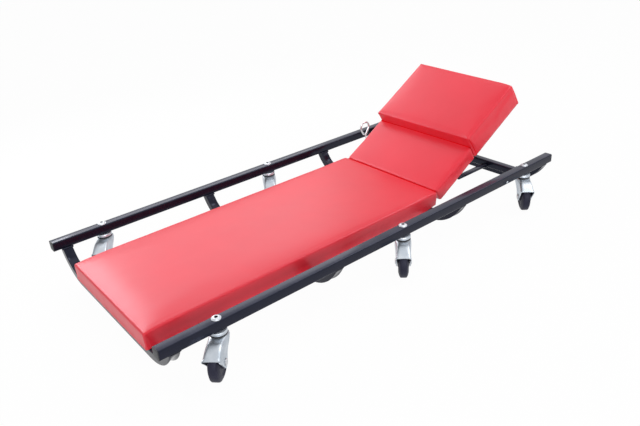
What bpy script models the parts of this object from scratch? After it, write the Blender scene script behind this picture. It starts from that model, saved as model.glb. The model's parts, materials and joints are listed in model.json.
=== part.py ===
"""A mechanic's creeper: a low padded bed with a tilting headrest on six swivel casters.

Lengths are in metres. The parts are laid out from the foot end of the rails (x), from the
centre line (y, the near side is negative) and from the floor (z), under one root empty that
puts the origin on the floor below the middle of the whole creeper.
"""

import math

import bmesh
import bpy
from mathutils import Matrix, Vector

# Gap kept between pieces that touch
CLEAR = 0.0003

# Square steel tube of the frame
RAIL_LENGTH = 1.016
FRAME_WIDTH = 0.468
TUBE = 0.019
TUBE_WALL = 0.0015
TUBE_CORNER = 0.0025
PLUG_CAP = 0.0015
PLUG_DEPTH = 0.012

# Casters: wheel and axle
WHEEL_RADIUS = 0.03175
WHEEL_WIDTH = 0.020
TREAD_WIDTH = 0.0145
SHOULDER_DROP = 0.0045
HUB_RADIUS = 0.0105
HUB_DISH = 0.0015
AXLE_RADIUS = 0.004
AXLE_HEAD_RADIUS = 0.0062
AXLE_HEAD = 0.0018
AXLE_FACE_RADIUS = 0.0043

# Casters: stamped fork with its hood, and the swivel race
SHEET = 0.002
SIDE_GAP = 0.0017
HOOD_GAP = 0.0035
HOOD_REACH = 0.0555
HOOD_DROP = 0.013
HOOD_CURVE = 1.7
HOOD_STEPS = 4
LEG_FRONT = 0.009
FORK_FRONT = 0.009
BOSS_RADIUS = 0.0095
TRAIL = 0.0267
CROWN_RISE = 0.001
CROWN_THICKNESS = 0.0035
CROWN_RIM = 0.0015
RACE_GAP = 0.0009
CUP_HEIGHT = 0.0058
CUP_RADIUS = 0.015
CUP_RIM = 0.002
CUP_HOLLOW = 0.0022

# Caster bolts and lock nuts
BOLT_RADIUS = 0.004
BOLT_HEAD_RADIUS = 0.00875
BOLT_HEAD = 0.0042
BOLT_DOME_RADIUS = 0.007
BOLT_FACE_RADIUS = 0.0042
BOLT_FLANGE = 0.0012
BOLT_PAST_NUT = 0.0012
SOCKET_FLATS = 0.005
SOCKET_DEPTH = 0.0022
NUT_FLATS = 0.013
NUT_HEIGHT = 0.0055

# Casters: places along the rails and the way each one trails
FOOT_CASTER = 0.0796
HEAD_CASTER = 0.0695
CASTER_TURNS = {
    "foot_near": math.radians(-136), "foot_far": math.radians(-128), "mid_near": math.radians(-135),
    "mid_far": math.radians(-122.5), "head_near": math.radians(-134), "head_far": math.radians(-125),
}

# Bent crossbars under the bed
BOW_CLEARANCE = 0.021
BOW_INSET = 0.0175
BEND_RADIUS = 0.0855
BEND_ANGLE = math.radians(64)
BEND_STEPS = 6
MID_BOW = 0.3285
SEAM_BOW = 0.017

# Straight crossbar at the head and the two bars that the headrest rests on
HEAD_BAR = 0.016
HEAD_BAR_SET_IN = 0.119
HEAD_BAR_DROP = 0.0015
SUPPORT_WIDTH = 0.012
SUPPORT_THICKNESS = 0.0054
SUPPORT_DROP = 0.0122
SUPPORT_INSET = 0.0041

# Bed: plywood board and cushion
BED_FOOT = 0.012
BED_SIDE_GAP = 0.067
BOARD_THICKNESS = 0.009
BOARD_INSET = 0.009
BOARD_SHOWS = 0.0012
BED_THICKNESS = 0.035
CROWN = 0.0025
DRAW_IN = 0.0018
TUCK = 0.003
EDGE = 0.008
CAGE_SPAN = 0.14
FACE_SHARE = 0.999

# Headrest: neck part, pillow and the sewn seam that it folds on
SEAM_FROM_HEAD = 0.302
SEAM_DEPTH = 0.0015
WELT_RADIUS = 0.0018
TILT = math.radians(30.15)
HEADREST_NARROWER = 0.0055
NECK_LENGTH = 0.135
NECK_THICKNESS = 0.0324
PILLOW_LENGTH = 0.179
PILLOW_STEP = 0.026
PILLOW_EDGE = 0.012

# Wire stand that hangs under the headrest and props it up, with its clips
WIRE_RADIUS = 0.0025
STAND_ALONG = 0.092
STAND_INSET = 0.0235
STAND_BEND = 0.008
STAND_LIFT = math.radians(21)
HANDLE_LENGTH = 0.033
HANDLE_HALF = 0.0125
HANDLE_TURN = math.radians(56)
HANDLE_GAP = 0.0012
HANDLE_POINTS = 24
CLIP_SHEET = 0.0012
CLIP_WIDTH = 0.009
CLIP_FLANGE = 0.0095

# Small rivet in the outer face of the near rail
RIVET_FROM_HEAD = 0.1704
RIVET_HEIGHT = 0.005
RIVET_RADIUS = 0.003
RIVET_DOME = 0.0014
RIVET_SHANK = 0.0016
RIVET_LENGTH = 0.003
RIVET_SHOULDER_RADIUS = 0.0018
RIVET_SHOULDER = 0.0011

# Shift that centres the creeper between its near and far wheels
SIDE_SHIFT = 0.01647

# Heights worked out from the casters upwards
HOOD_TOP = 2 * WHEEL_RADIUS + HOOD_GAP + SHEET
CROWN_TOP = HOOD_TOP + CROWN_RISE
CROWN_BOTTOM = CROWN_TOP - CROWN_THICKNESS
CUP_BOTTOM = CROWN_TOP + RACE_GAP
CUP_TOP = CUP_BOTTOM + CUP_HEIGHT
RAIL_BOTTOM = CUP_TOP + CLEAR
RAIL_TOP = RAIL_BOTTOM + TUBE
RAIL_MID = RAIL_BOTTOM + TUBE / 2
NUT_TOP = CROWN_BOTTOM - CLEAR
BOLT_HOLE = BOLT_RADIUS + CLEAR

# Widths
RAIL_Y = (FRAME_WIDTH - TUBE) / 2
RAIL_INNER = FRAME_WIDTH / 2 - TUBE
BED_HALF = RAIL_INNER - BED_SIDE_GAP
FORK_HALF = WHEEL_WIDTH / 2 + SIDE_GAP + SHEET

# Bows: the bend starts where its outer face ends flush with the outside of the rail
BOW_MID = BOW_CLEARANCE + TUBE / 2
BOW_TOP = BOW_CLEARANCE + TUBE
BOW_RISE = RAIL_BOTTOM - BOW_CLEARANCE
OUTER_BEND = BEND_RADIUS + TUBE / 2
ARC_RISE = OUTER_BEND * (1 - math.cos(BEND_ANGLE))
if BOW_RISE < ARC_RISE:
    BOW_REACH = math.sqrt(OUTER_BEND ** 2 - (OUTER_BEND - BOW_RISE) ** 2)
else:
    BOW_REACH = OUTER_BEND * math.sin(BEND_ANGLE) + (BOW_RISE - ARC_RISE) / math.tan(BEND_ANGLE)
BEND_START = FRAME_WIDTH / 2 - BOW_REACH
BOW_STUB = max(BOW_RISE - ARC_RISE, 0) / math.sin(BEND_ANGLE) + TUBE

# Places along the rails
SEAM_X = RAIL_LENGTH - SEAM_FROM_HEAD
FOOT_BOW_X = BOW_INSET + TUBE / 2
BOW_X = {
    "foot": FOOT_BOW_X,
    "mid_foot": FOOT_BOW_X + MID_BOW,
    "mid_head": SEAM_X - SEAM_BOW,
    "head": RAIL_LENGTH - FOOT_BOW_X,
}
CASTER_X = {
    "foot": BOW_X["foot"] + FOOT_CASTER,
    "mid": (BOW_X["mid_foot"] + BOW_X["mid_head"]) / 2,
    "head": BOW_X["head"] - HEAD_CASTER,
}
SIDES = {"near": -1, "far": 1}
HEAD_BAR_X = RAIL_LENGTH - HEAD_BAR_SET_IN
HEAD_BAR_TOP = RAIL_TOP - HEAD_BAR_DROP
RIVET_X = RAIL_LENGTH - RIVET_FROM_HEAD

# Bed heights
BOARD_BOTTOM = BOW_TOP + CLEAR
BOARD_TOP = BOARD_BOTTOM + BOARD_THICKNESS
BED_BOTTOM = BOARD_BOTTOM + BOARD_SHOWS
BED_TOP = BED_BOTTOM + BED_THICKNESS
SEAM_Z = BED_TOP - SEAM_DEPTH

# Headrest, measured from the seam along its own slope
HEAD_HALF = BED_HALF - HEADREST_NARROWER
HEAD_UNDER = SEAM_DEPTH - NECK_THICKNESS
HEAD_LENGTH = NECK_LENGTH + PILLOW_LENGTH

# Support bars under the headrest's sides: they end where its underside lies on them
SUPPORT_Y = HEAD_HALF - SUPPORT_INSET
SUPPORT_TOP = RAIL_TOP - SUPPORT_DROP
SUPPORT_RISE = SUPPORT_TOP - SEAM_Z
SUPPORT_FOOT = SEAM_X + (CLEAR - HEAD_UNDER + SUPPORT_RISE * math.cos(TILT)) / math.sin(TILT)

# Stand: folded flat under the headrest's board, and just long enough to stand on the head
# crossbar once the headrest is raised
STAND_DROP = HEAD_UNDER - CLEAR - WIRE_RADIUS
RAISED = TILT + STAND_LIFT
RAISED_X = SEAM_X + STAND_ALONG * math.cos(RAISED) - STAND_DROP * math.sin(RAISED)
RAISED_Z = SEAM_Z + STAND_ALONG * math.sin(RAISED) + STAND_DROP * math.cos(RAISED)
STAND_REACH = math.dist((RAISED_X, RAISED_Z), (HEAD_BAR_X, HEAD_BAR_TOP + CLEAR + WIRE_RADIUS))
HEAD_BOARD_HALF = HEAD_HALF - BOARD_INSET
STAND_HALF = HEAD_BOARD_HALF - STAND_INSET
HANDLE_Y = (BED_HALF + RAIL_INNER) / 2
CLIP_Y = (STAND_HALF + STAND_BEND + HEAD_BOARD_HALF) / 2
CLIP_INNER = WIRE_RADIUS + CLEAR
CLIP_OUTER = CLIP_INNER + CLIP_SHEET

# Turns that stand a flat outline up: its depth then runs along X or along Y
ALONG_X = Matrix.Rotation(math.pi / 2, 4, "Z") @ Matrix.Rotation(math.pi / 2, 4, "X")
ALONG_Y = Matrix.Rotation(math.pi / 2, 4, "X")

for old in list(bpy.data.objects):
    bpy.data.objects.remove(old)

parts = bpy.data.collections.new("mechanic_creeper")
cutters = bpy.data.collections.new("cutters")
bpy.context.scene.collection.children.link(parts)
bpy.context.scene.collection.children.link(cutters)


def material(name, colour, roughness, metallic=0.0):
    """A Principled material of one colour."""
    result = bpy.data.materials.new(name)
    result.use_nodes = True
    shader = result.node_tree.nodes["Principled BSDF"]
    shader.inputs["Base Color"].default_value = (*colour, 1.0)
    shader.inputs["Roughness"].default_value = roughness
    shader.inputs["Metallic"].default_value = metallic
    return result


BLACK_PAINT = material("black_paint", (0.012, 0.012, 0.014), 0.22)
RED_VINYL = material("red_vinyl", (0.62, 0.035, 0.045), 0.38)
PLYWOOD = material("plywood", (0.36, 0.24, 0.13), 0.7)
ZINC = material("zinc_plate", (0.72, 0.73, 0.75), 0.28, 1.0)
CHROME = material("chrome_wire", (0.82, 0.82, 0.84), 0.12, 1.0)
STEEL = material("steel", (0.55, 0.56, 0.58), 0.35, 1.0)
WHEEL_POLYMER = material("wheel_polymer", (0.045, 0.05, 0.058), 0.5)
BLACK_PLASTIC = material("black_plastic", (0.02, 0.02, 0.02), 0.5)


def empty(name, parent=None, location=(0, 0, 0), rotation=(0, 0, 0)):
    """A guide that carries the pieces of one moving body."""
    result = bpy.data.objects.new(name, None)
    parts.objects.link(result)
    result.parent = parent
    result.location = location
    result.rotation_euler = rotation
    return result


def linked(name, data, finish=None, parent=None, location=(0, 0, 0)):
    """An object on the given mesh or curve."""
    result = bpy.data.objects.new(name, data)
    parts.objects.link(result)
    result.parent = parent
    result.location = location
    if finish:
        data.materials.clear()
        data.materials.append(finish)
    return result


def mesh_of(bm, name):
    """The finished mesh of a bmesh, with its faces pointing out."""
    bmesh.ops.recalc_face_normals(bm, faces=bm.faces)
    mesh = bpy.data.meshes.new(name)
    bm.to_mesh(mesh)
    bm.free()
    return mesh


def baked(thing):
    """The mesh of an object after its modifiers; the object itself is removed."""
    bpy.context.view_layer.update()
    evaluated = thing.evaluated_get(bpy.context.evaluated_depsgraph_get())
    source = bpy.data.meshes.new_from_object(evaluated)
    bm = bmesh.new()
    bm.from_mesh(source)
    bmesh.ops.remove_doubles(bm, verts=bm.verts, dist=1e-6)
    name = thing.name
    bpy.data.meshes.remove(source)
    bpy.data.objects.remove(thing)
    return mesh_of(bm, name)


def smooth(mesh, angle=35):
    """Smooth shading with sharp edges where faces turn by more than the angle."""
    mesh.shade_smooth()
    mesh.set_sharp_from_angle(angle=math.radians(angle))
    return mesh


def block(name, low, high):
    """A block between two corners."""
    low = Vector(low)
    high = Vector(high)
    bm = bmesh.new()
    bmesh.ops.create_cube(bm, size=1.0)
    bmesh.ops.scale(bm, vec=high - low, verts=bm.verts)
    bmesh.ops.translate(bm, vec=(low + high) / 2, verts=bm.verts)
    return mesh_of(bm, name)


def rod(name, radius, low, high, sides=12):
    """An upright cylinder on the Z axis."""
    bm = bmesh.new()
    bmesh.ops.create_cone(
        bm, cap_ends=True, segments=sides, radius1=radius, radius2=radius, depth=high - low
    )
    bmesh.ops.translate(bm, vec=(0, 0, (low + high) / 2), verts=bm.verts)
    return mesh_of(bm, name)


def turned(name, profile, steps, ring=False):
    """A profile of radius and height turned round the Z axis."""
    bm = bmesh.new()
    points = [bm.verts.new((radius, 0, height)) for radius, height in profile]
    for first, second in zip(points, points[1:]):
        bm.edges.new((first, second))
    if ring:
        bm.edges.new((points[-1], points[0]))
    mesh = bpy.data.meshes.new(name)
    bm.to_mesh(mesh)
    bm.free()
    result = linked(name, mesh)
    screw = result.modifiers.new("turn", "SCREW")
    screw.steps = steps
    screw.render_steps = steps
    screw.use_merge_vertices = True
    screw.merge_threshold = 0.00001
    return smooth(baked(result))


def outline(name, loops, depth):
    """A flat shape, with holes where one loop lies in another, given a thickness."""
    curve = bpy.data.curves.new(name, "CURVE")
    curve.dimensions = "2D"
    curve.fill_mode = "BOTH"
    curve.extrude = depth / 2
    for loop in loops:
        spline = curve.splines.new("POLY")
        spline.points.add(len(loop) - 1)
        spline.use_cyclic_u = True
        for point, (across, up) in zip(spline.points, loop):
            point.co = (across, up, 0, 1)
    return baked(linked(name, curve))


def arc(centre, radius, start, end, steps):
    """Points along an arc, in degrees."""
    angles = [math.radians(start + (end - start) * k / steps) for k in range(steps + 1)]
    return [(centre[0] + radius * math.cos(a), centre[1] + radius * math.sin(a)) for a in angles]


def rounded_square(side, corner, steps=2):
    """A square with round corners, centred."""
    reach = side / 2 - corner
    corners = ((reach, reach, 0), (-reach, reach, 90), (-reach, -reach, 180), (reach, -reach, 270))
    points = []
    for across, up, start in corners:
        points += arc((across, up), corner, start, start + 90, steps)
    return points


def polygon(flats, sides):
    """A regular polygon of the given width across its flats."""
    radius = flats / 2 / math.cos(math.pi / sides)
    return arc((0, 0), radius, 0, 360 - 360 / sides, sides - 1)


def cutter(mesh, parent, location=(0, 0, 0)):
    """An object that is only used to cut others."""
    result = bpy.data.objects.new(mesh.name, mesh)
    cutters.objects.link(result)
    result.parent = parent
    result.location = location
    result.hide_render = True
    result.display_type = "WIRE"
    return result


def combine(target, tool, operation="DIFFERENCE"):
    """Cut the tool out of the target, or join the two."""
    boolean = target.modifiers.new(tool.name, "BOOLEAN")
    boolean.operation = operation
    boolean.solver = "EXACT"
    boolean.object = tool


def bevel(target, width, segments=2):
    """Round the square edges of a piece."""
    modifier = target.modifiers.new("round", "BEVEL")
    modifier.width = width
    modifier.segments = segments
    modifier.limit_method = "ANGLE"
    modifier.angle_limit = math.radians(60)


def without_inner_edges(mesh):
    """Join the triangles of each flat face."""
    bm = bmesh.new()
    bm.from_mesh(mesh)
    bmesh.ops.dissolve_limit(bm, angle_limit=math.radians(0.5), verts=bm.verts, edges=bm.edges)
    return mesh_of(bm, mesh.name)


def rounded_path(corners, radius, steps):
    """A polyline with its corners turned into arcs."""
    corners = [Vector(corner) for corner in corners]
    path = [corners[0]]
    for before, corner, after in zip(corners, corners[1:], corners[2:]):
        back = (before - corner).normalized()
        onward = (after - corner).normalized()
        half = back.angle(onward) / 2
        set_back = radius / math.tan(half)
        centre = corner + (back + onward).normalized() * (radius / math.sin(half))
        first = corner + back * set_back - centre
        last = corner + onward * set_back - centre
        path += [centre + first.slerp(last, k / steps) * radius for k in range(steps + 1)]
    return path + [corners[-1]]


creeper = empty("creeper", location=(-RAIL_LENGTH / 2, SIDE_SHIFT, 0))
headrest = empty("headrest", creeper, (SEAM_X, 0, SEAM_Z), (0, -TILT, 0))
stand = empty("stand", headrest, (STAND_ALONG, 0, STAND_DROP))


def make_rails():
    """Two hollow rails with their bolt holes, and a small rivet in the near one."""
    inner = TUBE - 2 * TUBE_WALL
    section = [rounded_square(TUBE, TUBE_CORNER), rounded_square(inner, TUBE_CORNER - TUBE_WALL)]
    length = RAIL_LENGTH - 2 * (PLUG_CAP + CLEAR)
    bolt_hole = rod("bolt_hole", BOLT_HOLE, RAIL_BOTTOM - TUBE, RAIL_TOP + TUBE)
    rivet_hole = rod("rivet_hole", RIVET_SHANK + CLEAR, -TUBE / 2, TUBE / 2)
    rivet_hole.transform(ALONG_Y)
    for side, sign in SIDES.items():
        mesh = outline("rail_" + side, section, length)
        mesh.transform(ALONG_X)
        place = (RAIL_LENGTH / 2, sign * RAIL_Y, RAIL_MID)
        rail = linked("rail_" + side, smooth(mesh, 50), BLACK_PAINT, creeper, place)
        for along in CASTER_X.values():
            combine(rail, cutter(bolt_hole, creeper, (along, sign * RAIL_Y, 0)))
        if side == "near":
            spot = (RIVET_X, sign * FRAME_WIDTH / 2, RAIL_BOTTOM + RIVET_HEIGHT)
            combine(rail, cutter(rivet_hole, creeper, spot))
            make_rivet(spot)
        make_plugs(inner - 2 * CLEAR, side, sign)


def make_plugs(insert, side, sign):
    """A plug in each end of a rail: a cap over the tube and a square insert."""
    cap = outline("rail_plug", [rounded_square(TUBE, TUBE_CORNER)], PLUG_CAP)
    plug = linked("rail_plug", cap)
    tongue = block("insert", (-insert / 2, -insert / 2, 0), (insert / 2, insert / 2, PLUG_DEPTH))
    tool = linked("insert", tongue)
    combine(plug, tool, "UNION")
    mesh = baked(plug)
    bpy.data.objects.remove(tool)
    mesh.transform(ALONG_X)
    across = sign * RAIL_Y
    linked("rail_plug_foot_" + side, mesh, BLACK_PLASTIC, creeper, (PLUG_CAP / 2, across, RAIL_MID))
    place = (RAIL_LENGTH - PLUG_CAP / 2, across, RAIL_MID)
    other = linked("rail_plug_head_" + side, mesh, BLACK_PLASTIC, creeper, place)
    other.rotation_euler.z = math.pi


def make_rivet(spot):
    """A domed rivet in the outer face of the near rail."""
    profile = [
        (0, RIVET_DOME),
        (RIVET_SHOULDER_RADIUS, RIVET_SHOULDER),
        (RIVET_RADIUS, CLEAR),
        (RIVET_SHANK, CLEAR),
        (RIVET_SHANK, -RIVET_LENGTH),
        (0, -RIVET_LENGTH),
    ]
    mesh = turned("rail_rivet", profile, 12)
    mesh.transform(ALONG_Y)
    linked("rail_rivet", mesh, ZINC, creeper, spot)


def bow_side(offset, stub):
    """Points up one end of a bow, at an offset outside its centre line."""
    radius = BEND_RADIUS + offset
    height = BOW_MID + BEND_RADIUS
    end = math.degrees(BEND_ANGLE) - 90
    points = arc((BEND_START, height), radius, -90, end, BEND_STEPS)
    across, up = points[-1]
    points.append((across + stub * math.cos(BEND_ANGLE), up + stub * math.sin(BEND_ANGLE)))
    return points


def bow_outline(half, stub):
    """The side view of a bow of the given half thickness, as y and z."""
    right = bow_side(half, stub) + bow_side(-half, stub)[::-1]
    return right + [(-across, up) for across, up in reversed(right)]


def make_bows():
    """Four bent crossbars that hang below the rails, hollow and cut off under them."""
    half = TUBE / 2
    hollow_half = half - TUBE_WALL
    solid = outline("crossbar", [bow_outline(half, BOW_STUB)], TUBE)
    solid.transform(ALONG_X)
    solid = without_inner_edges(solid)
    hollow = outline("crossbar_hollow", [bow_outline(hollow_half, BOW_STUB + TUBE)], 2 * hollow_half)
    hollow.transform(ALONG_X)
    above = block(
        "above_crossbars",
        (-RAIL_LENGTH, -FRAME_WIDTH, RAIL_BOTTOM - CLEAR),
        (2 * RAIL_LENGTH, FRAME_WIDTH, RAIL_TOP + FRAME_WIDTH),
    )
    trim = cutter(above, creeper)
    for place, along in BOW_X.items():
        bow = linked("crossbar_" + place, solid, BLACK_PAINT, creeper, (along, 0, 0))
        bevel(bow, TUBE_CORNER)
        combine(bow, cutter(hollow, creeper, (along, 0, 0)))
        combine(bow, trim)


def make_head_bars():
    """The straight crossbar at the head and the two flat bars that run footwards from it."""
    inner = HEAD_BAR - 2 * TUBE_WALL
    section = [
        rounded_square(HEAD_BAR, TUBE_CORNER), rounded_square(inner, TUBE_CORNER - TUBE_WALL)
    ]
    mesh = outline("head_crossbar", section, 2 * (RAIL_INNER - CLEAR))
    mesh.transform(ALONG_Y)
    place = (HEAD_BAR_X, 0, HEAD_BAR_TOP - HEAD_BAR / 2)
    linked("head_crossbar", smooth(mesh, 50), BLACK_PAINT, creeper, place)
    head_end = HEAD_BAR_X - HEAD_BAR / 2 - CLEAR
    for side, sign in SIDES.items():
        low = (SUPPORT_FOOT, sign * SUPPORT_Y - SUPPORT_WIDTH / 2, SUPPORT_TOP - SUPPORT_THICKNESS)
        high = (head_end, sign * SUPPORT_Y + SUPPORT_WIDTH / 2, SUPPORT_TOP)
        linked("support_bar_" + side, block("support_bar", low, high), BLACK_PAINT, creeper)


def cage(name, length, half, low, high, edge, free_foot):
    """A coarse block with loops near its edges, crowned on top and drawn in at its sides."""
    mesh = block(name, (0, -half, low), (length, half, high))
    bm = bmesh.new()
    bm.from_mesh(mesh)
    spans = max(2, round(length / CAGE_SPAN))
    along = [edge, length - edge] + [length * k / spans for k in range(1, spans)]
    across = [edge - half, -half / 3, half / 3, half - edge]
    up = [low + edge / 2, high - edge / 2]
    for axis, values in enumerate((along, across, up)):
        normal = [0, 0, 0]
        normal[axis] = 1
        for value in values:
            everything = bm.verts[:] + bm.edges[:] + bm.faces[:]
            centre = [value * part for part in normal]
            bmesh.ops.bisect_plane(bm, geom=everything, plane_co=centre, plane_no=normal)
    for vert in bm.verts:
        lengthwise = 2 * vert.co.x / length - 1
        sideways = vert.co.y / half
        height = (vert.co.z - low) / (high - low)
        inward = TUCK if height < 1 - FACE_SHARE else 0
        if height > FACE_SHARE:
            vert.co.z += CROWN * (1 - lengthwise ** 4) * (1 - sideways ** 4)
        if abs(sideways) > FACE_SHARE:
            vert.co.y -= math.copysign(inward + DRAW_IN * (1 - lengthwise ** 2), sideways)
        if free_foot and lengthwise < -FACE_SHARE:
            vert.co.x += inward + DRAW_IN * (1 - sideways ** 2)
    bm.to_mesh(mesh)
    bm.free()
    return mesh


def cushion(mesh, parent, location, cuts):
    """A soft form on its cage, hollowed below for its board and grooved at a seam."""
    result = linked(mesh.name, smooth(mesh, 60), RED_VINYL, parent, location)
    soften = result.modifiers.new("soften", "SUBSURF")
    soften.levels = 1
    soften.render_levels = 1
    for cut in cuts:
        combine(result, cut)


def make_bed(seam):
    """The plywood board and the cushion over it, with the sewn welt at its head end."""
    half = BED_HALF - BOARD_INSET
    foot = BED_FOOT + BOARD_INSET
    head = SEAM_X - BOARD_INSET
    board = block("main_board", (foot, -half, BOARD_BOTTOM), (head, half, BOARD_TOP))
    linked("main_board", board, PLYWOOD, creeper)
    room = block(
        "main_board_room",
        (foot - CLEAR, -half - CLEAR, 0),
        (head + CLEAR, half + CLEAR, BOARD_TOP + CLEAR),
    )
    length = SEAM_X - BED_FOOT - CLEAR
    mesh = cage("main_cushion", length, BED_HALF, BED_BOTTOM, BED_TOP, EDGE, True)
    cushion(mesh, creeper, (BED_FOOT, 0, 0), [cutter(room, creeper), seam])
    welt = rod("hinge_welt", WELT_RADIUS, -HEAD_HALF, HEAD_HALF, 10)
    welt.transform(ALONG_Y)
    linked("hinge_welt", smooth(welt), RED_VINYL, creeper, (SEAM_X, 0, SEAM_Z))


def make_headrest(seam):
    """The headrest's board with the neck cushion and the thicker pillow on it."""
    low = (BOARD_INSET, -HEAD_BOARD_HALF, HEAD_UNDER)
    high = (HEAD_LENGTH - BOARD_INSET, HEAD_BOARD_HALF, HEAD_UNDER + BOARD_THICKNESS)
    linked("headrest_board", block("headrest_board", low, high), PLYWOOD, headrest)
    room = block(
        "headrest_board_room",
        (low[0] - CLEAR, low[1] - CLEAR, HEAD_UNDER - BOARD_THICKNESS),
        (high[0] + CLEAR, high[1] + CLEAR, high[2] + CLEAR),
    )
    recess = cutter(room, headrest)
    neck_length = NECK_LENGTH - CLEAR
    neck = cage("neck_cushion", neck_length, HEAD_HALF, HEAD_UNDER, SEAM_DEPTH, EDGE, False)
    cushion(neck, headrest, (CLEAR, 0, 0), [recess, seam])
    top = SEAM_DEPTH + PILLOW_STEP
    pillow = cage("head_pillow", PILLOW_LENGTH, HEAD_HALF, HEAD_UNDER, top, PILLOW_EDGE, False)
    cushion(pillow, headrest, (NECK_LENGTH + CLEAR, 0, 0), [recess])


def make_stand():
    """A bent wire under the headrest, with a wide crank and a loop handle beside the far edge."""
    lean = Vector((math.cos(HANDLE_TURN), 0, math.sin(HANDLE_TURN)))
    aside = Vector((lean.z, 0, -lean.x))
    corners = [
        Vector((0, -HEAD_BOARD_HALF, 0)),
        Vector((0, -STAND_HALF, 0)),
        Vector((STAND_REACH, -STAND_HALF, 0)),
        Vector((STAND_REACH, STAND_HALF, 0)),
        Vector((0, STAND_HALF, 0)),
        Vector((0, HANDLE_Y, 0)),
        Vector((0, HANDLE_Y, 0)) + lean * HANDLE_LENGTH,
    ]
    path = rounded_path(corners, STAND_BEND, 4)[:-1]
    foot = path[-1].dot(lean)
    widest = 4 / math.sqrt(27)
    for k in range(1, HANDLE_POINTS + 1):
        turn = 2 * math.pi * k / HANDLE_POINTS
        up = lean * (foot + HANDLE_LENGTH * (1 - math.cos(turn)) / 2)
        out = aside * (HANDLE_HALF / widest * math.sin(turn) * math.sin(turn / 2))
        beside = HANDLE_Y + (2 * WIRE_RADIUS + HANDLE_GAP) * k / HANDLE_POINTS
        path.append(up + out + Vector((0, beside, 0)))
    curve = bpy.data.curves.new("wire_stand", "CURVE")
    curve.dimensions = "3D"
    curve.bevel_depth = WIRE_RADIUS
    curve.bevel_resolution = 2
    curve.use_fill_caps = True
    spline = curve.splines.new("POLY")
    spline.points.add(len(path) - 1)
    for point, spot in zip(spline.points, path):
        point.co = (*spot, 1)
    linked("wire_stand", curve, CHROME, stand)


def make_clips():
    """A saddle clip that holds the wire to the underside of the headrest's board at each end."""
    flange = CLIP_OUTER + CLIP_FLANGE
    loop = arc((0, -WIRE_RADIUS), CLIP_OUTER, 180, 360, 6)
    loop += [(CLIP_OUTER, -CLIP_SHEET), (flange, -CLIP_SHEET), (flange, 0), (CLIP_INNER, 0)]
    loop += arc((0, -WIRE_RADIUS), CLIP_INNER, 360, 180, 6)
    loop += [(-CLIP_INNER, 0), (-flange, 0), (-flange, -CLIP_SHEET), (-CLIP_OUTER, -CLIP_SHEET)]
    clip = outline("stand_clip", [loop], CLIP_WIDTH)
    clip.transform(ALONG_Y)
    for side, sign in SIDES.items():
        spot = (STAND_ALONG, sign * CLIP_Y, HEAD_UNDER - CLEAR)
        linked("stand_clip_" + side, clip, ZINC, headrest, spot)


def hood_back(inset):
    """Points down the back of the fork's hood, at a depth inside its outer face."""
    points = []
    run = HOOD_REACH - TRAIL
    for k in range(HOOD_STEPS + 1):
        share = k / HOOD_STEPS
        slope = HOOD_DROP * HOOD_CURVE * share ** (HOOD_CURVE - 1)
        size = math.hypot(run, slope)
        across = TRAIL + run * share - inset * slope / size
        up = HOOD_TOP - HOOD_DROP * share ** HOOD_CURVE - inset * run / size
        points.append((across, up))
    return points


def fork_mesh():
    """A stamped fork: a hood bent down into two legs, with a round crown on top."""
    front = -FORK_FRONT
    boss = arc((TRAIL, WHEEL_RADIUS), BOSS_RADIUS, -20, -160, 6)
    outer = [(front, HOOD_TOP)] + hood_back(0) + boss + [(front, HOOD_TOP - LEG_FRONT)]
    shell = outline("fork", [outer], 2 * FORK_HALF)
    shell.transform(ALONG_Y)
    back = hood_back(SHEET)
    (x1, z1), (x2, z2) = back[-2:]
    below = (x2 + HOOD_STEPS * (x2 - x1), z2 + HOOD_STEPS * (z2 - z1))
    inner = [(2 * front, HOOD_TOP - SHEET)] + back + [below, (below[0], 0), (2 * front, 0)]
    hollow = outline("fork_hollow", [inner], 2 * (FORK_HALF - SHEET))
    hollow.transform(ALONG_Y)
    crown = rod("fork_crown", CUP_RADIUS + CROWN_RIM, CROWN_BOTTOM, CROWN_TOP, 16)
    stem_hole = rod("stem_hole", BOLT_HOLE, 0, 2 * CROWN_TOP)
    axle_hole = rod("axle_hole", AXLE_RADIUS + CLEAR, -2 * FORK_HALF, 2 * FORK_HALF)
    axle_hole.transform(ALONG_Y)
    axle_hole.transform(Matrix.Translation((TRAIL, 0, WHEEL_RADIUS)))
    fork = linked("fork", shell)
    steps = ((hollow, "DIFFERENCE"), (crown, "UNION"), (stem_hole, "DIFFERENCE"), (axle_hole, "DIFFERENCE"))
    tools = []
    for mesh, operation in steps:
        tools.append(linked(mesh.name, mesh))
        combine(fork, tools[-1], operation)
    mesh = baked(fork)
    for tool in tools:
        bpy.data.objects.remove(tool)
    return smooth(mesh, 30)


def axle_mesh():
    """A riveted axle with a head outside each leg."""
    seat = FORK_HALF + CLEAR
    end = seat + AXLE_HEAD
    upper = [(0, end), (AXLE_FACE_RADIUS, end), (AXLE_HEAD_RADIUS, seat), (AXLE_RADIUS, seat)]
    lower = [(radius, -height) for radius, height in reversed(upper)]
    return turned("axle", upper + lower, 12)


def wheel_mesh():
    """A wheel with a flat tread, sloping shoulders and a hub that runs between the legs."""
    half = WHEEL_WIDTH / 2
    hub = FORK_HALF - SHEET - CLEAR
    shoulder = WHEEL_RADIUS - SHOULDER_DROP
    upper = [
        (AXLE_RADIUS + CLEAR, hub),
        (HUB_RADIUS, hub),
        (HUB_RADIUS, half - HUB_DISH),
        (shoulder, half),
        (WHEEL_RADIUS, TREAD_WIDTH / 2),
    ]
    lower = [(radius, -height) for radius, height in reversed(upper)]
    return turned("wheel", upper + lower, 24, ring=True)


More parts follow.
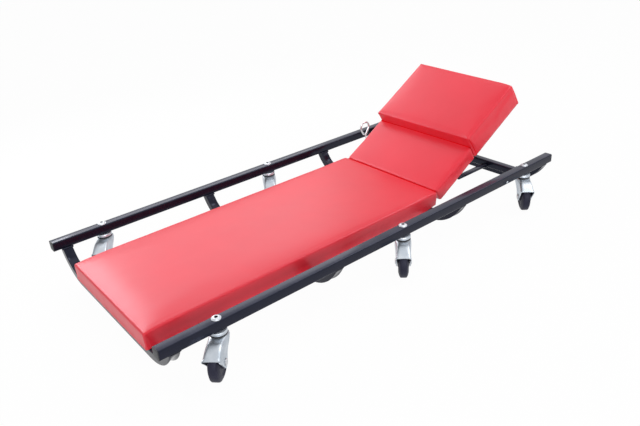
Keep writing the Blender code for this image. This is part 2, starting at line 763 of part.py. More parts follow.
def cup_mesh():
    """The upper race: a cup under the rail, hollow between its rim and its hub."""
    roof = CUP_BOTTOM + CUP_HOLLOW
    profile = [
        (CUP_RADIUS - CUP_RIM / 2, CUP_TOP),
        (CUP_RADIUS, CUP_TOP - CUP_RIM / 2),
        (CUP_RADIUS, CUP_BOTTOM),
        (CUP_RADIUS - CUP_RIM, CUP_BOTTOM),
        (CUP_RADIUS - CUP_RIM, roof),
        (BOLT_HOLE + CUP_RIM, roof),
        (BOLT_HOLE + CUP_RIM, CUP_BOTTOM),
        (BOLT_HOLE, CUP_BOTTOM),
        (BOLT_HOLE, CUP_TOP),
    ]
    return turned("race_cup", profile, 16, ring=True)


def bolt_mesh():
    """A button-head bolt with a flange and a hex socket, from the rail's top down to its nut."""
    seat = RAIL_TOP + CLEAR
    end = NUT_TOP - NUT_HEIGHT - BOLT_PAST_NUT
    profile = [
        (0, seat + BOLT_HEAD),
        (BOLT_FACE_RADIUS, seat + BOLT_HEAD),
        (BOLT_DOME_RADIUS, seat + BOLT_FLANGE),
        (BOLT_HEAD_RADIUS, seat + BOLT_FLANGE),
        (BOLT_HEAD_RADIUS, seat),
        (BOLT_RADIUS, seat),
        (BOLT_RADIUS, end),
        (0, end),
    ]
    bolt = linked("caster_bolt", turned("caster_bolt", profile, 14))
    key = outline("socket", [polygon(SOCKET_FLATS, 6)], 2 * SOCKET_DEPTH)
    key.transform(Matrix.Translation((0, 0, seat + BOLT_HEAD)))
    socket = linked("socket", key)
    combine(bolt, socket)
    mesh = baked(bolt)
    bpy.data.objects.remove(socket)
    return smooth(mesh)


def nut_mesh():
    """A hexagon nut below the fork's crown."""
    mesh = outline("lock_nut", [polygon(NUT_FLATS, 6), polygon(2 * BOLT_HOLE, 12)], NUT_HEIGHT)
    mesh.transform(Matrix.Translation((0, 0, NUT_TOP - NUT_HEIGHT / 2)))
    return mesh


def make_casters():
    """Six casters: what turns hangs on its swivel, the rest is held by the rail."""
    fixed = {"race_cup_": cup_mesh(), "caster_bolt_": bolt_mesh(), "lock_nut_": nut_mesh()}
    fork = fork_mesh()
    axle = axle_mesh()
    wheel = wheel_mesh()
    axle.transform(ALONG_Y)
    wheel.transform(ALONG_Y)
    hub = (TRAIL, 0, WHEEL_RADIUS)
    for place, along in CASTER_X.items():
        for side, sign in SIDES.items():
            name = f"{place}_{side}"
            spot = (along, sign * RAIL_Y, 0)
            for start, mesh in fixed.items():
                linked(start + name, mesh, ZINC, creeper, spot)
            swivel = empty("swivel_" + name, creeper, spot, (0, 0, CASTER_TURNS[name]))
            spin = empty("spin_" + name, swivel, hub)
            linked("fork_" + name, fork, ZINC, swivel)
            linked("axle_" + name, axle, STEEL, swivel, hub)
            linked("wheel_" + name, wheel, WHEEL_POLYMER, spin)


groove = rod("seam_groove", WELT_RADIUS + CLEAR, -FRAME_WIDTH, FRAME_WIDTH)
groove.transform(ALONG_Y)
seam_groove = cutter(groove, creeper, (SEAM_X, 0, SEAM_Z))
make_rails()
make_bows()
make_head_bars()
make_bed(seam_groove)
make_headrest(seam_groove)
make_stand()
make_clips()
make_casters()
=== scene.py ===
"""Looks of a mechanic's creeper: puffed red vinyl pads, a black tube frame and zinc swivel casters.

Lengths are in metres. X runs along the rails from the foot end to the head end, Y from the near
side to the far side, Z up from the floor.
"""
import json
import math

import bmesh
import bpy
from mathutils import Matrix, Vector, noise


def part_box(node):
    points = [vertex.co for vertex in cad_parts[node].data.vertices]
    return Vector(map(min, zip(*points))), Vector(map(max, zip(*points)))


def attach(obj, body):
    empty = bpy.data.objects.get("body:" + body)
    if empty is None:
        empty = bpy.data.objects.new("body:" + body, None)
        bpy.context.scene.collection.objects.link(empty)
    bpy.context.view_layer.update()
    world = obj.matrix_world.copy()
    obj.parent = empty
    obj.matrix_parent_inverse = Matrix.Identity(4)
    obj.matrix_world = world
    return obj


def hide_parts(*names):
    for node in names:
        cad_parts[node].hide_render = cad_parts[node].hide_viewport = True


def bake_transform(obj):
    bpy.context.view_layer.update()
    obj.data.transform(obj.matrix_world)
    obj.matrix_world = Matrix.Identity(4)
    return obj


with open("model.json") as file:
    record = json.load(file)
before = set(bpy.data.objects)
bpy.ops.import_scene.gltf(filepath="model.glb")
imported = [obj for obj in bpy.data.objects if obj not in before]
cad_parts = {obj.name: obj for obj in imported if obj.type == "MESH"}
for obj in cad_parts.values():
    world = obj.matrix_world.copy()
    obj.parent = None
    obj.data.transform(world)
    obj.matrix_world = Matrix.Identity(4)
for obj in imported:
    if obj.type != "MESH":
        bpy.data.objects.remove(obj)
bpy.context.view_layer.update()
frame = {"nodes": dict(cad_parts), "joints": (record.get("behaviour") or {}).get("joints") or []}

joints = {joint["name"]: joint for joint in frame["joints"]}

PLACES = ("foot", "mid", "head")
SIDES = ("near", "far")
CASTERS = [f"{place}_{side}" for place in PLACES for side in SIDES]
BOWS = ("foot", "mid_foot", "mid_head", "head")


def middle(node):
    """The middle of a node's box."""
    low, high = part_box(node)
    return (low + high) / 2


# Camera of the photograph
CAMERA_SPOT = (-0.7659, -0.9579, 0.6895)
CAMERA_HEADING = math.radians(37.93)
CAMERA_DIP = math.radians(27.3)
CAMERA_ROLL = math.radians(-3.94)
CAMERA_LENS = 35.84
SENSOR_WIDTH = 36.0

# Frame tube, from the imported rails
RAIL_LOW, RAIL_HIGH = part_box("rail_near")
TUBE = RAIL_HIGH.z - RAIL_LOW.z
TUBE_CORNER = 0.0025
MID_Y = (middle("rail_near").y + middle("rail_far").y) / 2
PLUG_CAP, PLUG_RIM = 0.0015, 0.0007
FLAT_BAR_EDGE = 0.0009
WELD_RADIUS, WELD_STEP = 0.0021, 0.0024
WELD_SWELL, WELD_RIPPLES = 0.16, 400
WELD_SHORT, WELD_PAST, WELD_INSET = 0.003, 0.002, 0.001

# Bent crossbars: their bends are pressed in on the inside and sag on the outside
BOW_LOW, BOW_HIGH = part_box("crossbar_foot")
BEND_RADIUS = 0.0855
BEND_ANGLE = math.radians(64)
BEND_STEPS = 20
DENT_START, DENT_END = 0.04, 0.96
DENT_WALL = 0.2
DENT_DEPTH, DENT_RIPPLE, DENT_WAVES = 0.0042, 0.38, 3
SAG_DEPTH = 0.0052

# Pads: the bed along X from its foot, the headrest along its own slope from the seam
SEAM = Vector(joints["headrest_tilt"]["pos_m"])
HEADREST_TILT = math.radians(30.15)
HEAD_TURN = Matrix.Rotation(-HEADREST_TILT, 4, "Y")
HEAD_SLOPE = Matrix.Translation(SEAM) @ HEAD_TURN
BED_FOOT = -0.496
BED_HALF = 0.1505
BED_UNDER, BED_TOP = 0.0405, 0.0765
HEAD_HALF = 0.144
HEAD_BOARD_HALF = 0.1335
HEAD_UNDER, NECK_TOP, PILLOW_TOP = -0.0309, 0.0015, 0.0275
NECK_END, PILLOW_END = 0.135, 0.3145
BED_PUFF, NECK_PUFF, PILLOW_PUFF = 0.0012, 0.0012, 0.0014
BED_CROWN, NECK_CROWN, PILLOW_CROWN = 0.0018, 0.0012, 0.0016
PILLOW_SKEW = 0.008
PAD_GAP = 0.0007
PAD_CORNER, PAD_EDGE = 0.004, 0.0038
SEAM_GAP, SEAM_ROUND = 0.002, 0.002
BOARD_INSET, BOARD_THICKNESS, BOARD_SLACK = 0.009, 0.009, 0.0005
WELT_RADIUS, WELT_DROP = 0.0026, 0.0016

# The pads' net, and what the cover holds while a pad is puffed
NET_STEP = 0.006
NET_SNAP = 0.0002
SKIRT_LINE = 0.0014
SKIRT_HELD, ROOM_HELD, SEAM_HELD = 0.004, 0.001, 0.0005
PUFF_FRAMES = 20
TOP_BAND, TOP_ROUNDS = 0.003, 12
FOLD_NET = (0.003, 0.0045, 0.006, 0.0072, 0.0084, 0.0096, 0.0108, 0.012, 0.0135, 0.0155)
SEAM_NET = (0.0005, 0.0011, 0.002)

# Tailoring of the pads; heights are shares of a pad's thickness
CROWN_START, CROWN_RISE = 0.3, 0.5
PULL_STEP, PULL_DEPTH, PULL_HEIGHT = 0.036, 0.0005, 0.6
WAVES = ((0.0003, 14), (0.00015, 45))
WAVE_START = 0.15
DROOP_START, DROOP_RATE = 0.8, 5
DROOP_DEPTH, DROOP_LEAN = 0.0024, 0.0016
TUCK_LENGTH, TUCK_DEPTH, TUCK_RISE = 0.055, 0.0015, 0.007
TUCK_SIDE, TUCK_HEIGHT = 0.9, 0.7
ROLL_LENGTH, ROLL_DROP, ROLL_HEIGHT = 0.06, 0.0035, 0.4

# Folds of the covers at the corners, and the dark cords of painted shade that draw the creases they leave
FOLD_DEEP, FOLD_REACH = 0.005, 0.03
FOLD_LOW, FOLD_HIGH, FOLD_FADE = 0.02, 0.92, 0.2
FOLD_LINE = 0.0042
FOLD_LAP, FOLD_GROOVE, FOLD_WIDTH = 0.0006, 0.0012, 0.0013
FOOT_CREASE, FOOT_CREASE_INSET, FOOT_CREASE_SINK = 0.0013, 0.003, 0.0008
SIDE_CREASE, SIDE_CREASE_INSET, SIDE_CREASE_PROUD = 0.0008, 0.0036, 0.0001
SIDE_CREASE_TOP, SIDE_CREASE_FOOT = 0.0035, 0.001
SIDE_CREASE_STEPS = 12

# Hems, staples and screws under the boards
HEM_WIDTH, HEM_SHEET, HEM_EDGE = 0.026, 0.0007, 0.0003
HEM_END, HEM_GAP, HEM_LEAST = 0.002, 0.001, 0.012
HEM_CLEAR_BOW, HEM_CLEAR_HINGE = 0.004, 0.015
STAPLE_HALF, STAPLE_WIRE, STAPLE_BEND = 0.005, 0.0005, 0.0004
STAPLE_PROUD, STAPLE_SUNK = 0.0006, 0.0004
STAPLE_STEP, STAPLE_INSET, STAPLE_TILT = 0.045, 0.014, 0.35
END_STAPLES = 5
BOARD_SCREW_Y = 0.085
BOARD_SCREW_RADIUS, BOARD_SCREW_HEIGHT, BOARD_SCREW_LENGTH = 0.0045, 0.0028, 0.01

# Wire stand, measured from its hinge along the headrest
STAND = Vector(joints["stand_swing"]["pos_m"])
WIRE_RADIUS = 0.0025
STAND_REACH, STAND_HALF, STAND_END = 0.10298, 0.11, -0.1335
STAND_BEND = 0.008
HANDLE_Y, HANDLE_LENGTH, HANDLE_HALF = 0.1815, 0.033, 0.0125
HANDLE_TURN = math.radians(56)
HANDLE_GAP = 0.0012
HANDLE_POINTS = 48
CLIP_Y, CLIP_SHEET, CLIP_GAP = 0.12575, 0.0012, 0.0003
CLIP_SCREW_X = 0.0088
CLIP_SCREW_RADIUS, CLIP_SCREW_HEIGHT, CLIP_SCREW_LENGTH = 0.0032, 0.0018, 0.006

# Casters, measured from the swivel axis along the way they trail
FORK_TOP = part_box("fork_foot_near")[1].z
HOOD_TOP = FORK_TOP - 0.002
FORK_FRONT, HOOD_REACH = -0.009, 0.0555
HOOD_DROP, HOOD_CURVE, HOOD_FLARE, HOOD_EDGE = 0.013, 1.7, 0.0012, 0.0015
LIP_START, LIP_LENGTH, LIP_RISE = 0.9, 0.1, 0.0008
LEG_FRONT, LEG_SWEEP, LEG_FLARE = 0.0055, 0.46, 0.0005
FORK_HALF, FORK_SHEET, FORK_BEND = 0.0137, 0.002, 0.0055
FORK_SWELL, FORK_SWELL_REACH = 0.002, 0.013
ROOF_SHARE, BEND_SHARE, LEG_SHARE = 0.3, 0.3, 0.4
BOSS_RADIUS = 0.0095
BOSS_TURN = math.radians(20)
STEM_HOLE = 0.0045
CROWN_RADIUS, CROWN_HEIGHT, CROWN_RIM = 0.0148, 0.0035, 0.0012
WHEEL_HALF = 0.010
AXLE_RADIUS, AXLE_SEAT = 0.004, FORK_HALF + 0.0009
CUP_LOW, CUP_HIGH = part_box("race_cup_foot_near")
CUP_RADIUS = (CUP_HIGH.x - CUP_LOW.x) / 2
CUP_LIP, CUP_WALL, CUP_BOSS = 0.0011, 0.002, 0.0065
BOLT_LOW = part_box("caster_bolt_foot_near")[0].z
BOLT_SEAT = RAIL_HIGH.z + 0.0003
BOLT_RADIUS, BOLT_FLANGE, BOLT_HEIGHT = 0.0083, 0.0011, 0.0031
BOLT_FLATS, BOLT_SOCKET, BOLT_SHANK = 0.006, 0.0026, 0.004
SOCKET_RIM = 0.0004
SHOULDER_SHARE, SHOULDER_EDGE, FLANGE_SHARE = 0.84, 0.0003, 0.6

# Stage
FLOOR_HALF = 30.0
FLOOR_GLOW = 0.97
SKY_LIGHT = 0.48

# Distances at which points are taken as one
SAME_POINT, SAME_SEAM, SAME_LEVEL = 0.000002, 0.00001, 0.0001

scene = bpy.context.scene


class Socket:
    """An output of a finish's nodes; arithmetic on it adds Math nodes."""

    def __init__(self, tree, socket=None):
        self.tree = tree
        self.socket = socket

    def node(self, kind, settings=None, inputs=None, output=0):
        """Adds a node with its settings, then its values and links, and gives one of its outputs."""
        made = self.tree.nodes.new(kind)
        for key, value in (settings or {}).items():
            setattr(made, key, value)
        for key, value in (inputs or {}).items():
            if isinstance(value, Socket):
                self.tree.links.new(value.socket, made.inputs[key])
            else:
                made.inputs[key].default_value = value
        return Socket(self.tree, made.outputs[output]) if made.outputs else None

    def math(self, operation, first, second):
        """Adds a Math node."""
        return self.node("ShaderNodeMath", {"operation": operation}, {0: first, 1: second})

    def __add__(self, other):
        return self.math("ADD", self, other)

    __radd__ = __add__

    def __mul__(self, other):
        return self.math("MULTIPLY", self, other)

    __rmul__ = __mul__


def new_finish(name):
    """An empty material and the start of its nodes."""
    material = bpy.data.materials.new(name)
    material.use_nodes = True
    material.node_tree.nodes.clear()
    return material, Socket(material.node_tree)


def piece_finish(name):
    """An empty material, the start of its nodes, and the place on the piece that its pattern follows."""
    material, make = new_finish(name)
    return material, make, make.node("ShaderNodeTexCoord", output="Object")


def speckle(make, place, scale, detail=3.0, stretch=(1, 1, 1)):
    """Soft noise of about 1/scale metres, drawn out where stretch is under 1."""
    spread = make.node("ShaderNodeMapping", {}, {"Vector": place, "Scale": stretch})
    return make.node("ShaderNodeTexNoise", {}, {"Vector": spread, "Scale": scale, "Detail": detail})


def between(make, mask, first, second):
    """A colour between two, by a mask."""
    mixed = {0: mask, 6: first, 7: second}
    return make.node("ShaderNodeMix", {"data_type": "RGBA"}, mixed, output=2)


def ramp(make, value, low, high):
    """A mask that rises from 0 to 1 between two values."""
    stops = {0: value, 1: low, 2: high, 3: 0.0, 4: 1.0}
    return make.node("ShaderNodeMapRange", {}, stops)


def principled(make, **inputs):
    """The shader of a finish and its output."""
    named = {key.replace("_", " "): value for key, value in inputs.items()}
    shader = make.node("ShaderNodeBsdfPrincipled", {}, named)
    make.node("ShaderNodeOutputMaterial", {}, {"Surface": shader})


def bump(make, height, strength, distance):
    """Relief from a height mask."""
    return make.node("ShaderNodeBump", {}, {"Strength": strength, "Distance": distance, "Height": height})


def powder_coat():
    """Black gloss powder coat with a blue cast, a faint orange peel, a little dust, and a paler blue
    painted on faces that point up as painted top sheen.
    """
    material, make, place = piece_finish("black_powder_coat")
    peel = speckle(make, place, 150, 2)
    dust = ramp(make, speckle(make, place, 34, 5), 0.45, 0.85)
    normal = make.node("ShaderNodeNewGeometry", output="Normal")
    facing = make.node("ShaderNodeSeparateXYZ", {}, {"Vector": normal}, output="Z")
    # Faces that point up get a paler blue: painted top sheen, partly dust, scaled by the dust mask
    painted_top_sheen = ramp(make, facing, 0.6, 1.0)
    coat = between(make, dust, (0.006, 0.007, 0.015, 1), (0.01, 0.011, 0.021, 1))
    colour = between(make, painted_top_sheen * (0.6 + dust * 0.4), coat, (0.052, 0.055, 0.084, 1))
    relief = bump(make, peel, 0.02, 0.0002)
    principled(
        make, Base_Color=colour, Roughness=0.15 + dust * 0.06, Normal=relief,
        Specular_IOR_Level=0.27, Specular_Tint=(0.7, 0.74, 1.0, 1),
    )
    return material


def red_vinyl():
    """Semi-gloss red vinyl with a fine pebble grain and slow changes of tone."""
    material, make, place = piece_finish("red_vinyl")
    tone = speckle(make, place, 7, 3)
    pebble = make.node("ShaderNodeTexVoronoi", {"feature": "SMOOTH_F1"}, {"Vector": place, "Scale": 900.0})
    grain = speckle(make, place, 1500, 3)
    colour = between(make, ramp(make, tone, 0.3, 0.7), (0.75, 0.018, 0.033, 1), (0.81, 0.024, 0.042, 1))
    relief = bump(make, pebble * 0.7 + grain * 0.5, 0.1, 0.0003)
    principled(
        make, Base_Color=colour, Roughness=0.31 + tone * 0.1, Normal=relief,
        Specular_IOR_Level=0.58, Specular_Tint=(0.76, 0.85, 1.0, 1),
    )
    return material


def painted_crease_shade():
    """Painted crease shade: a darker, matt red for the welt and the cords that stand for the shade down in
    the creases of the covers.
    """
    material, make, place = piece_finish("painted_crease_shade")
    tone = speckle(make, place, 90, 3)
    colour = between(make, tone, (0.68, 0.006, 0.01, 1), (0.78, 0.008, 0.014, 1))
    principled(make, Base_Color=colour, Roughness=0.6 + tone * 0.15, Specular_IOR_Level=0.05)
    return material


def zinc_plate():
    """Bright zinc with a faint bluish spangle and small scuffs."""
    material, make, place = piece_finish("zinc_plate")
    spangle = speckle(make, place, 260, 4)
    cloud = speckle(make, place, 45, 3)
    colour = between(make, ramp(make, cloud, 0.35, 0.7), (0.46, 0.51, 0.57, 1), (0.6, 0.64, 0.69, 1))
    relief = bump(make, spangle, 0.08, 0.0003)
    principled(make, Base_Color=colour, Metallic=1.0, Roughness=0.36 + spangle * 0.14, Normal=relief)
    return material


def bolt_zinc():
    """Pale satin zinc of the bolt heads."""
    material, make, place = piece_finish("bolt_zinc")
    cloud = speckle(make, place, 220, 3)
    colour = between(make, cloud, (0.54, 0.57, 0.62, 1), (0.68, 0.7, 0.74, 1))
    principled(make, Base_Color=colour, Metallic=0.8, Roughness=0.4 + cloud * 0.12)
    return material


def socket_shade():
    """Painted shade: a dull dark steel colour inside the bolts' and screws' sockets and on the forks'
    crowns.
    """
    material, make, place = piece_finish("socket_shade")
    cloud = speckle(make, place, 900, 3)
    colour = between(make, cloud, (0.02, 0.021, 0.025, 1), (0.05, 0.052, 0.058, 1))
    principled(make, Base_Color=colour, Roughness=0.55 + cloud * 0.2, Metallic=0.3)
    return material


def bare_steel():
    """Plain steel of rivets and staples."""
    material, make, place = piece_finish("steel")
    cloud = speckle(make, place, 180, 4)
    colour = between(make, cloud, (0.46, 0.47, 0.5, 1), (0.68, 0.69, 0.71, 1))
    principled(make, Base_Color=colour, Metallic=1.0, Roughness=0.24 + cloud * 0.22)
    return material


def chrome():
    """Polished plated wire."""
    material, make, place = piece_finish("chrome_wire")
    cloud = speckle(make, place, 120, 3)
    principled(make, Base_Color=(0.7, 0.71, 0.74, 1), Metallic=1.0, Roughness=0.26 + cloud * 0.1)
    return material


def wheel_polymer():
    """Charcoal polymer with a blue cast, dulled by the floor."""
    material, make, place = piece_finish("wheel_polymer")
    cloud = speckle(make, place, 60, 4)
    grit = speckle(make, place, 900, 2)
    colour = between(make, ramp(make, cloud, 0.35, 0.75), (0.012, 0.012, 0.024, 1), (0.02, 0.02, 0.036, 1))
    relief = bump(make, grit, 0.1, 0.0003)
    principled(
        make, Base_Color=colour, Roughness=0.42 + cloud * 0.2, Normal=relief,
        Specular_IOR_Level=0.28, Specular_Tint=(0.78, 0.8, 1.0, 1),
    )
    return material


def black_plastic():
    """Moulded plastic of the rail plugs."""
    material, make, place = piece_finish("black_plastic")
    grit = speckle(make, place, 1400, 2)
    colour = between(make, grit, (0.012, 0.013, 0.018, 1), (0.022, 0.023, 0.03, 1))
    relief = bump(make, grit, 0.15, 0.0003)
    principled(make, Base_Color=colour, Roughness=0.42 + grit * 0.12, Normal=relief)
    return material


def plywood(name, tilt, start):
    """Plywood: long grain on its faces and thin plies on its edges, along a board that may slope."""
    material, make, place = piece_finish(name)
    level = {"rotation_type": "Y_AXIS"}
    away = make.node("ShaderNodeVectorMath", {"operation": "SUBTRACT"}, {0: place, 1: start})
    own = make.node("ShaderNodeVectorRotate", level, {"Vector": away, "Angle": tilt})
    height = make.node("ShaderNodeSeparateXYZ", {}, {"Vector": own}, output="Z")
    normal = make.node("ShaderNodeNewGeometry", output="Normal")
    upright = make.node("ShaderNodeVectorRotate", level, {"Vector": normal, "Angle": tilt})
    facing = make.node("ShaderNodeSeparateXYZ", {}, {"Vector": upright}, output="Z")
    face = ramp(make, facing * facing, 0.3, 0.7)
    grain = speckle(make, own, 90, 6, (0.06, 1, 1))
    pores = ramp(make, speckle(make, own, 700, 3, (0.03, 1, 1)), 0.55, 0.75)
    ply = ramp(make, make.math("PINGPONG", height, 0.0015), 0.0006, 0.0009)
    sheet = between(make, ramp(make, grain, 0.3, 0.72), (0.42, 0.27, 0.145, 1), (0.62, 0.45, 0.27, 1))
    pored = between(make, pores * 0.5, sheet, (0.2, 0.115, 0.055, 1))
    edge = between(make, ply, (0.24, 0.145, 0.075, 1), (0.5, 0.35, 0.2, 1))
    colour = between(make, face, edge, pored)
    relief = bump(make, grain, 0.25, 0.0006)
    principled(make, Base_Color=colour, Roughness=0.62 + grain * 0.2, Normal=relief)
    return material


POWDER_COAT = powder_coat()
RED_VINYL = red_vinyl()
PAINTED_CREASE_SHADE = painted_crease_shade()
ZINC = zinc_plate()
BOLT_ZINC = bolt_zinc()
SOCKET_SHADE = socket_shade()
STEEL = bare_steel()
CHROME = chrome()
WHEEL_POLYMER = wheel_polymer()
BLACK_PLASTIC = black_plastic()
BED_PLY = plywood("plywood_bed", 0.0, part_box("main_board")[0])
HEAD_PLY = plywood("plywood_headrest", HEADREST_TILT, SEAM)


def piece(name, bm, finish, body, stands_for=(), sharp=35):
    """A finished piece on its body, from its bmesh; edges that turn more than sharp degrees stay sharp."""
    bmesh.ops.remove_doubles(bm, verts=bm.verts, dist=SAME_POINT)
    mesh = bpy.data.meshes.new(name)
    bm.to_mesh(mesh)
    bm.free()
    mesh.shade_smooth()
    mesh.set_sharp_from_angle(angle=math.radians(sharp))
    for each in finish if isinstance(finish, list) else [finish]:
        mesh.materials.append(each)
    made = bpy.data.objects.new(name, mesh)
    scene.collection.objects.link(made)
    if body:
        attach(made, body)
    if stands_for:
        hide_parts(*stands_for)
    return made


def soften(bm, edges, width, segments=3):
    """Round the given edges."""
    bmesh.ops.bevel(
        bm, geom=edges, offset=width, offset_type="OFFSET", affect="EDGES", segments=segments,
        profile=0.5, material=-1, clamp_overlap=True,
    )


def edges_along(bm, axis):
    """The edges that run along one axis."""
    found = []
    for edge in bm.edges:
        run = edge.verts[1].co - edge.verts[0].co
        if abs(run.normalized()[axis]) > 0.999:
            found.append(edge)
    return found


def block(low, high):
    """A plain block between two corners, to be shaped further."""
    bm = bmesh.new()
    bmesh.ops.create_cube(bm, size=1.0)
    bmesh.ops.scale(bm, vec=high - low, verts=bm.verts)
    bmesh.ops.translate(bm, vec=(low + high) / 2, verts=bm.verts)
    return bm


def turned(profile, steps, ring=False):
    """A profile of radius and height spun round the Z axis."""
    bm = bmesh.new()
    points = [bm.verts.new((radius, 0, height)) for radius, height in profile]
    pairs = list(zip(points, points[1:]))
    if ring:
        pairs.append((points[-1], points[0]))
    edges = [bm.edges.new(pair) for pair in pairs]
    bmesh.ops.spin(
        bm, geom=points + edges, cent=(0, 0, 0), axis=(0, 0, 1), angle=2 * math.pi, steps=steps,
        use_merge=True,
    )
    bmesh.ops.remove_doubles(bm, verts=bm.verts, dist=SAME_POINT)
    bmesh.ops.recalc_face_normals(bm, faces=bm.faces)
    return bm


def joined(parts):
    """Several bmeshes as one."""
    whole = bmesh.new()
    for part in parts:
        mesh = bpy.data.meshes.new("part")
        part.to_mesh(mesh)
        part.free()
        whole.from_mesh(mesh)
        bpy.data.meshes.remove(mesh)
    return whole


def placed(bm, matrix):
    """The bmesh moved to its place."""
    bmesh.ops.transform(bm, matrix=matrix, verts=bm.verts)
    return bm


# Frame


def make_rails():
    """The two rails, square tube with round corners."""
    for side in SIDES:
        node = "rail_" + side
        bm = block(*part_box(node))
        soften(bm, edges_along(bm, 0), TUBE_CORNER, 6)
        piece(node + "_tube", bm, POWDER_COAT, "frame", [node])


def make_plugs():
    """The plastic plugs in the rail ends, with eased rims."""
    for side in SIDES:
        for end in ("foot", "head"):
            node = f"rail_plug_{end}_{side}"
            low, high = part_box(node)
            outward = -1 if end == "foot" else 1
            if outward < 0:
                high.x = low.x + PLUG_CAP
            else:
                low.x = high.x - PLUG_CAP
            bm = block(low, high)
            soften(bm, edges_along(bm, 0), TUBE_CORNER, 6)
            shown = [face for face in bm.faces if face.normal.x * outward > 0.9]
            rim = list({edge for face in shown for edge in face.edges})
            soften(bm, rim, PLUG_RIM, 3)
            piece(node + "_cap", bm, BLACK_PLASTIC, "frame", [node])


def bow_shape(along):
    """A bent crossbar: square tube run out from the middle, bent up, cut off at the rail and mirrored."""
    half = TUBE / 2
    level = BOW_LOW.z + half
    outer = BEND_RADIUS + half
    rise = RAIL_LOW.z - BOW_LOW.z
    left_over = rise - outer * (1 - math.cos(BEND_ANGLE))
    width = (BOW_HIGH.y - BOW_LOW.y) / 2
    start = width - outer * math.sin(BEND_ANGLE) - left_over / math.tan(BEND_ANGLE)
    bm = bmesh.new()
    bmesh.ops.create_grid(bm, x_segments=1, y_segments=1, size=half)
    bmesh.ops.bevel(
        bm, geom=bm.verts[:], offset=TUBE_CORNER, offset_type="OFFSET", affect="VERTICES", segments=5,
        profile=0.5, material=-1, clamp_overlap=True,
    )
    long_edges = [edge for edge in bm.edges if edge.calc_length() > half]
    bmesh.ops.subdivide_edges(bm, edges=long_edges, cuts=5)
    bmesh.ops.delete(bm, geom=bm.faces[:], context="FACES_ONLY")
    bmesh.ops.rotate(bm, verts=bm.verts, cent=(0, 0, 0), matrix=Matrix.Rotation(math.pi / 2, 3, "X"))
    bmesh.ops.translate(bm, verts=bm.verts, vec=(along, 0, level))
    ring = stretched(bm, bm.edges[:], (0, start, 0))
    ring_points = list({vert for edge in ring for vert in edge.verts})
    spun = bmesh.ops.spin(
        bm, geom=ring + ring_points, cent=(0, start, level + BEND_RADIUS), axis=(1, 0, 0),
        angle=BEND_ANGLE, steps=BEND_STEPS, use_merge=False,
    )
    ring = [item for item in spun["geom_last"] if isinstance(item, bmesh.types.BMEdge)]
    onward = Vector((0, math.cos(BEND_ANGLE), math.sin(BEND_ANGLE)))
    stretched(bm, ring, onward * TUBE)
    everything = bm.verts[:] + bm.edges[:] + bm.faces[:]
    bmesh.ops.bisect_plane(
        bm, geom=everything, plane_co=(0, 0, RAIL_LOW.z), plane_no=(0, 0, 1), clear_outer=True
    )
    dent(bm, along, start, level + BEND_RADIUS)
    everything = bm.verts[:] + bm.edges[:] + bm.faces[:]
    bmesh.ops.mirror(bm, geom=everything, axis="Y", merge_dist=SAME_SEAM)
    bmesh.ops.remove_doubles(bm, verts=bm.verts, dist=SAME_SEAM)
    bmesh.ops.holes_fill(bm, edges=[edge for edge in bm.edges if edge.is_boundary], sides=0)
    bmesh.ops.recalc_face_normals(bm, faces=bm.faces)
    bmesh.ops.translate(bm, verts=bm.verts, vec=(0, MID_Y, 0))
    return bm


def stretched(bm, ring, vec):
    """Extrude a ring of edges and give the new ring."""
    grown = bmesh.ops.extrude_edge_only(bm, edges=ring)["geom"]
    verts = [item for item in grown if isinstance(item, bmesh.types.BMVert)]
    bmesh.ops.translate(bm, verts=verts, vec=vec)
    moved = set(verts)
    return [
        item for item in grown
        if isinstance(item, bmesh.types.BMEdge) and item.verts[0] in moved and item.verts[1] in moved
    ]


def dent(bm, along, start, height):
    """Press the inner wall of a bend inwards, as the bending shoe leaves it, and let the outer one sag."""
    half = TUBE / 2
    for vert in bm.verts:
        across = vert.co.y - start
        up = height - vert.co.z
        turn = math.atan2(across, up) / BEND_ANGLE
        inside = (BEND_RADIUS - math.hypot(across, up)) / half
        if not DENT_START < turn < DENT_END or abs(inside) < DENT_WALL:
            continue
        sideways = (vert.co.x - along) / half
        ripple = 1 - DENT_RIPPLE + DENT_RIPPLE * math.cos(2 * DENT_WAVES * math.pi * turn)
        press = DENT_DEPTH * ripple * (1 - 0.8 * sideways ** 4)
        if inside < 0:
            press = SAG_DEPTH * (1 - min(1, abs(sideways)) ** 1.5)
        depth = press * inside * math.sin(math.pi * turn) ** 0.7
        vert.co.y += depth * math.sin(turn * BEND_ANGLE)
        vert.co.z -= depth * math.cos(turn * BEND_ANGLE)


def make_bows():
    """The four bent crossbars."""
    for place in BOWS:
        node = "crossbar_" + place
        bm = bow_shape(middle(node).x)
        piece(node + "_tube", bm, POWDER_COAT, "frame", [node])


def make_head_bars():
    """The straight crossbar and the two flat bars under the headrest."""
    bm = block(*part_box("head_crossbar"))
    soften(bm, edges_along(bm, 1), TUBE_CORNER, 6)
    piece("head_crossbar_tube", bm, POWDER_COAT, "frame", ["head_crossbar"])
    for side in SIDES:
        node = "support_bar_" + side
        bm = block(*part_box(node))
        soften(bm, bm.edges[:], FLAT_BAR_EDGE, 3)
        piece(node + "_flat", bm, POWDER_COAT, "frame", [node])


def bead(start, end):
    """A row of overlapping weld ripples between two points."""
    start = Vector(start)
    end = Vector(end)
    count = max(2, round((end - start).length / WELD_STEP))
    bm = bmesh.new()
    for k in range(count + 1):
        spot = start.lerp(end, k / count)
        swell = 1 + WELD_SWELL * noise.noise(spot * WELD_RIPPLES)
        matrix = Matrix.Translation(spot) @ Matrix.Scale(swell, 4)
        bmesh.ops.create_uvsphere(bm, u_segments=8, v_segments=5, radius=WELD_RADIUS, matrix=matrix)
    return bm


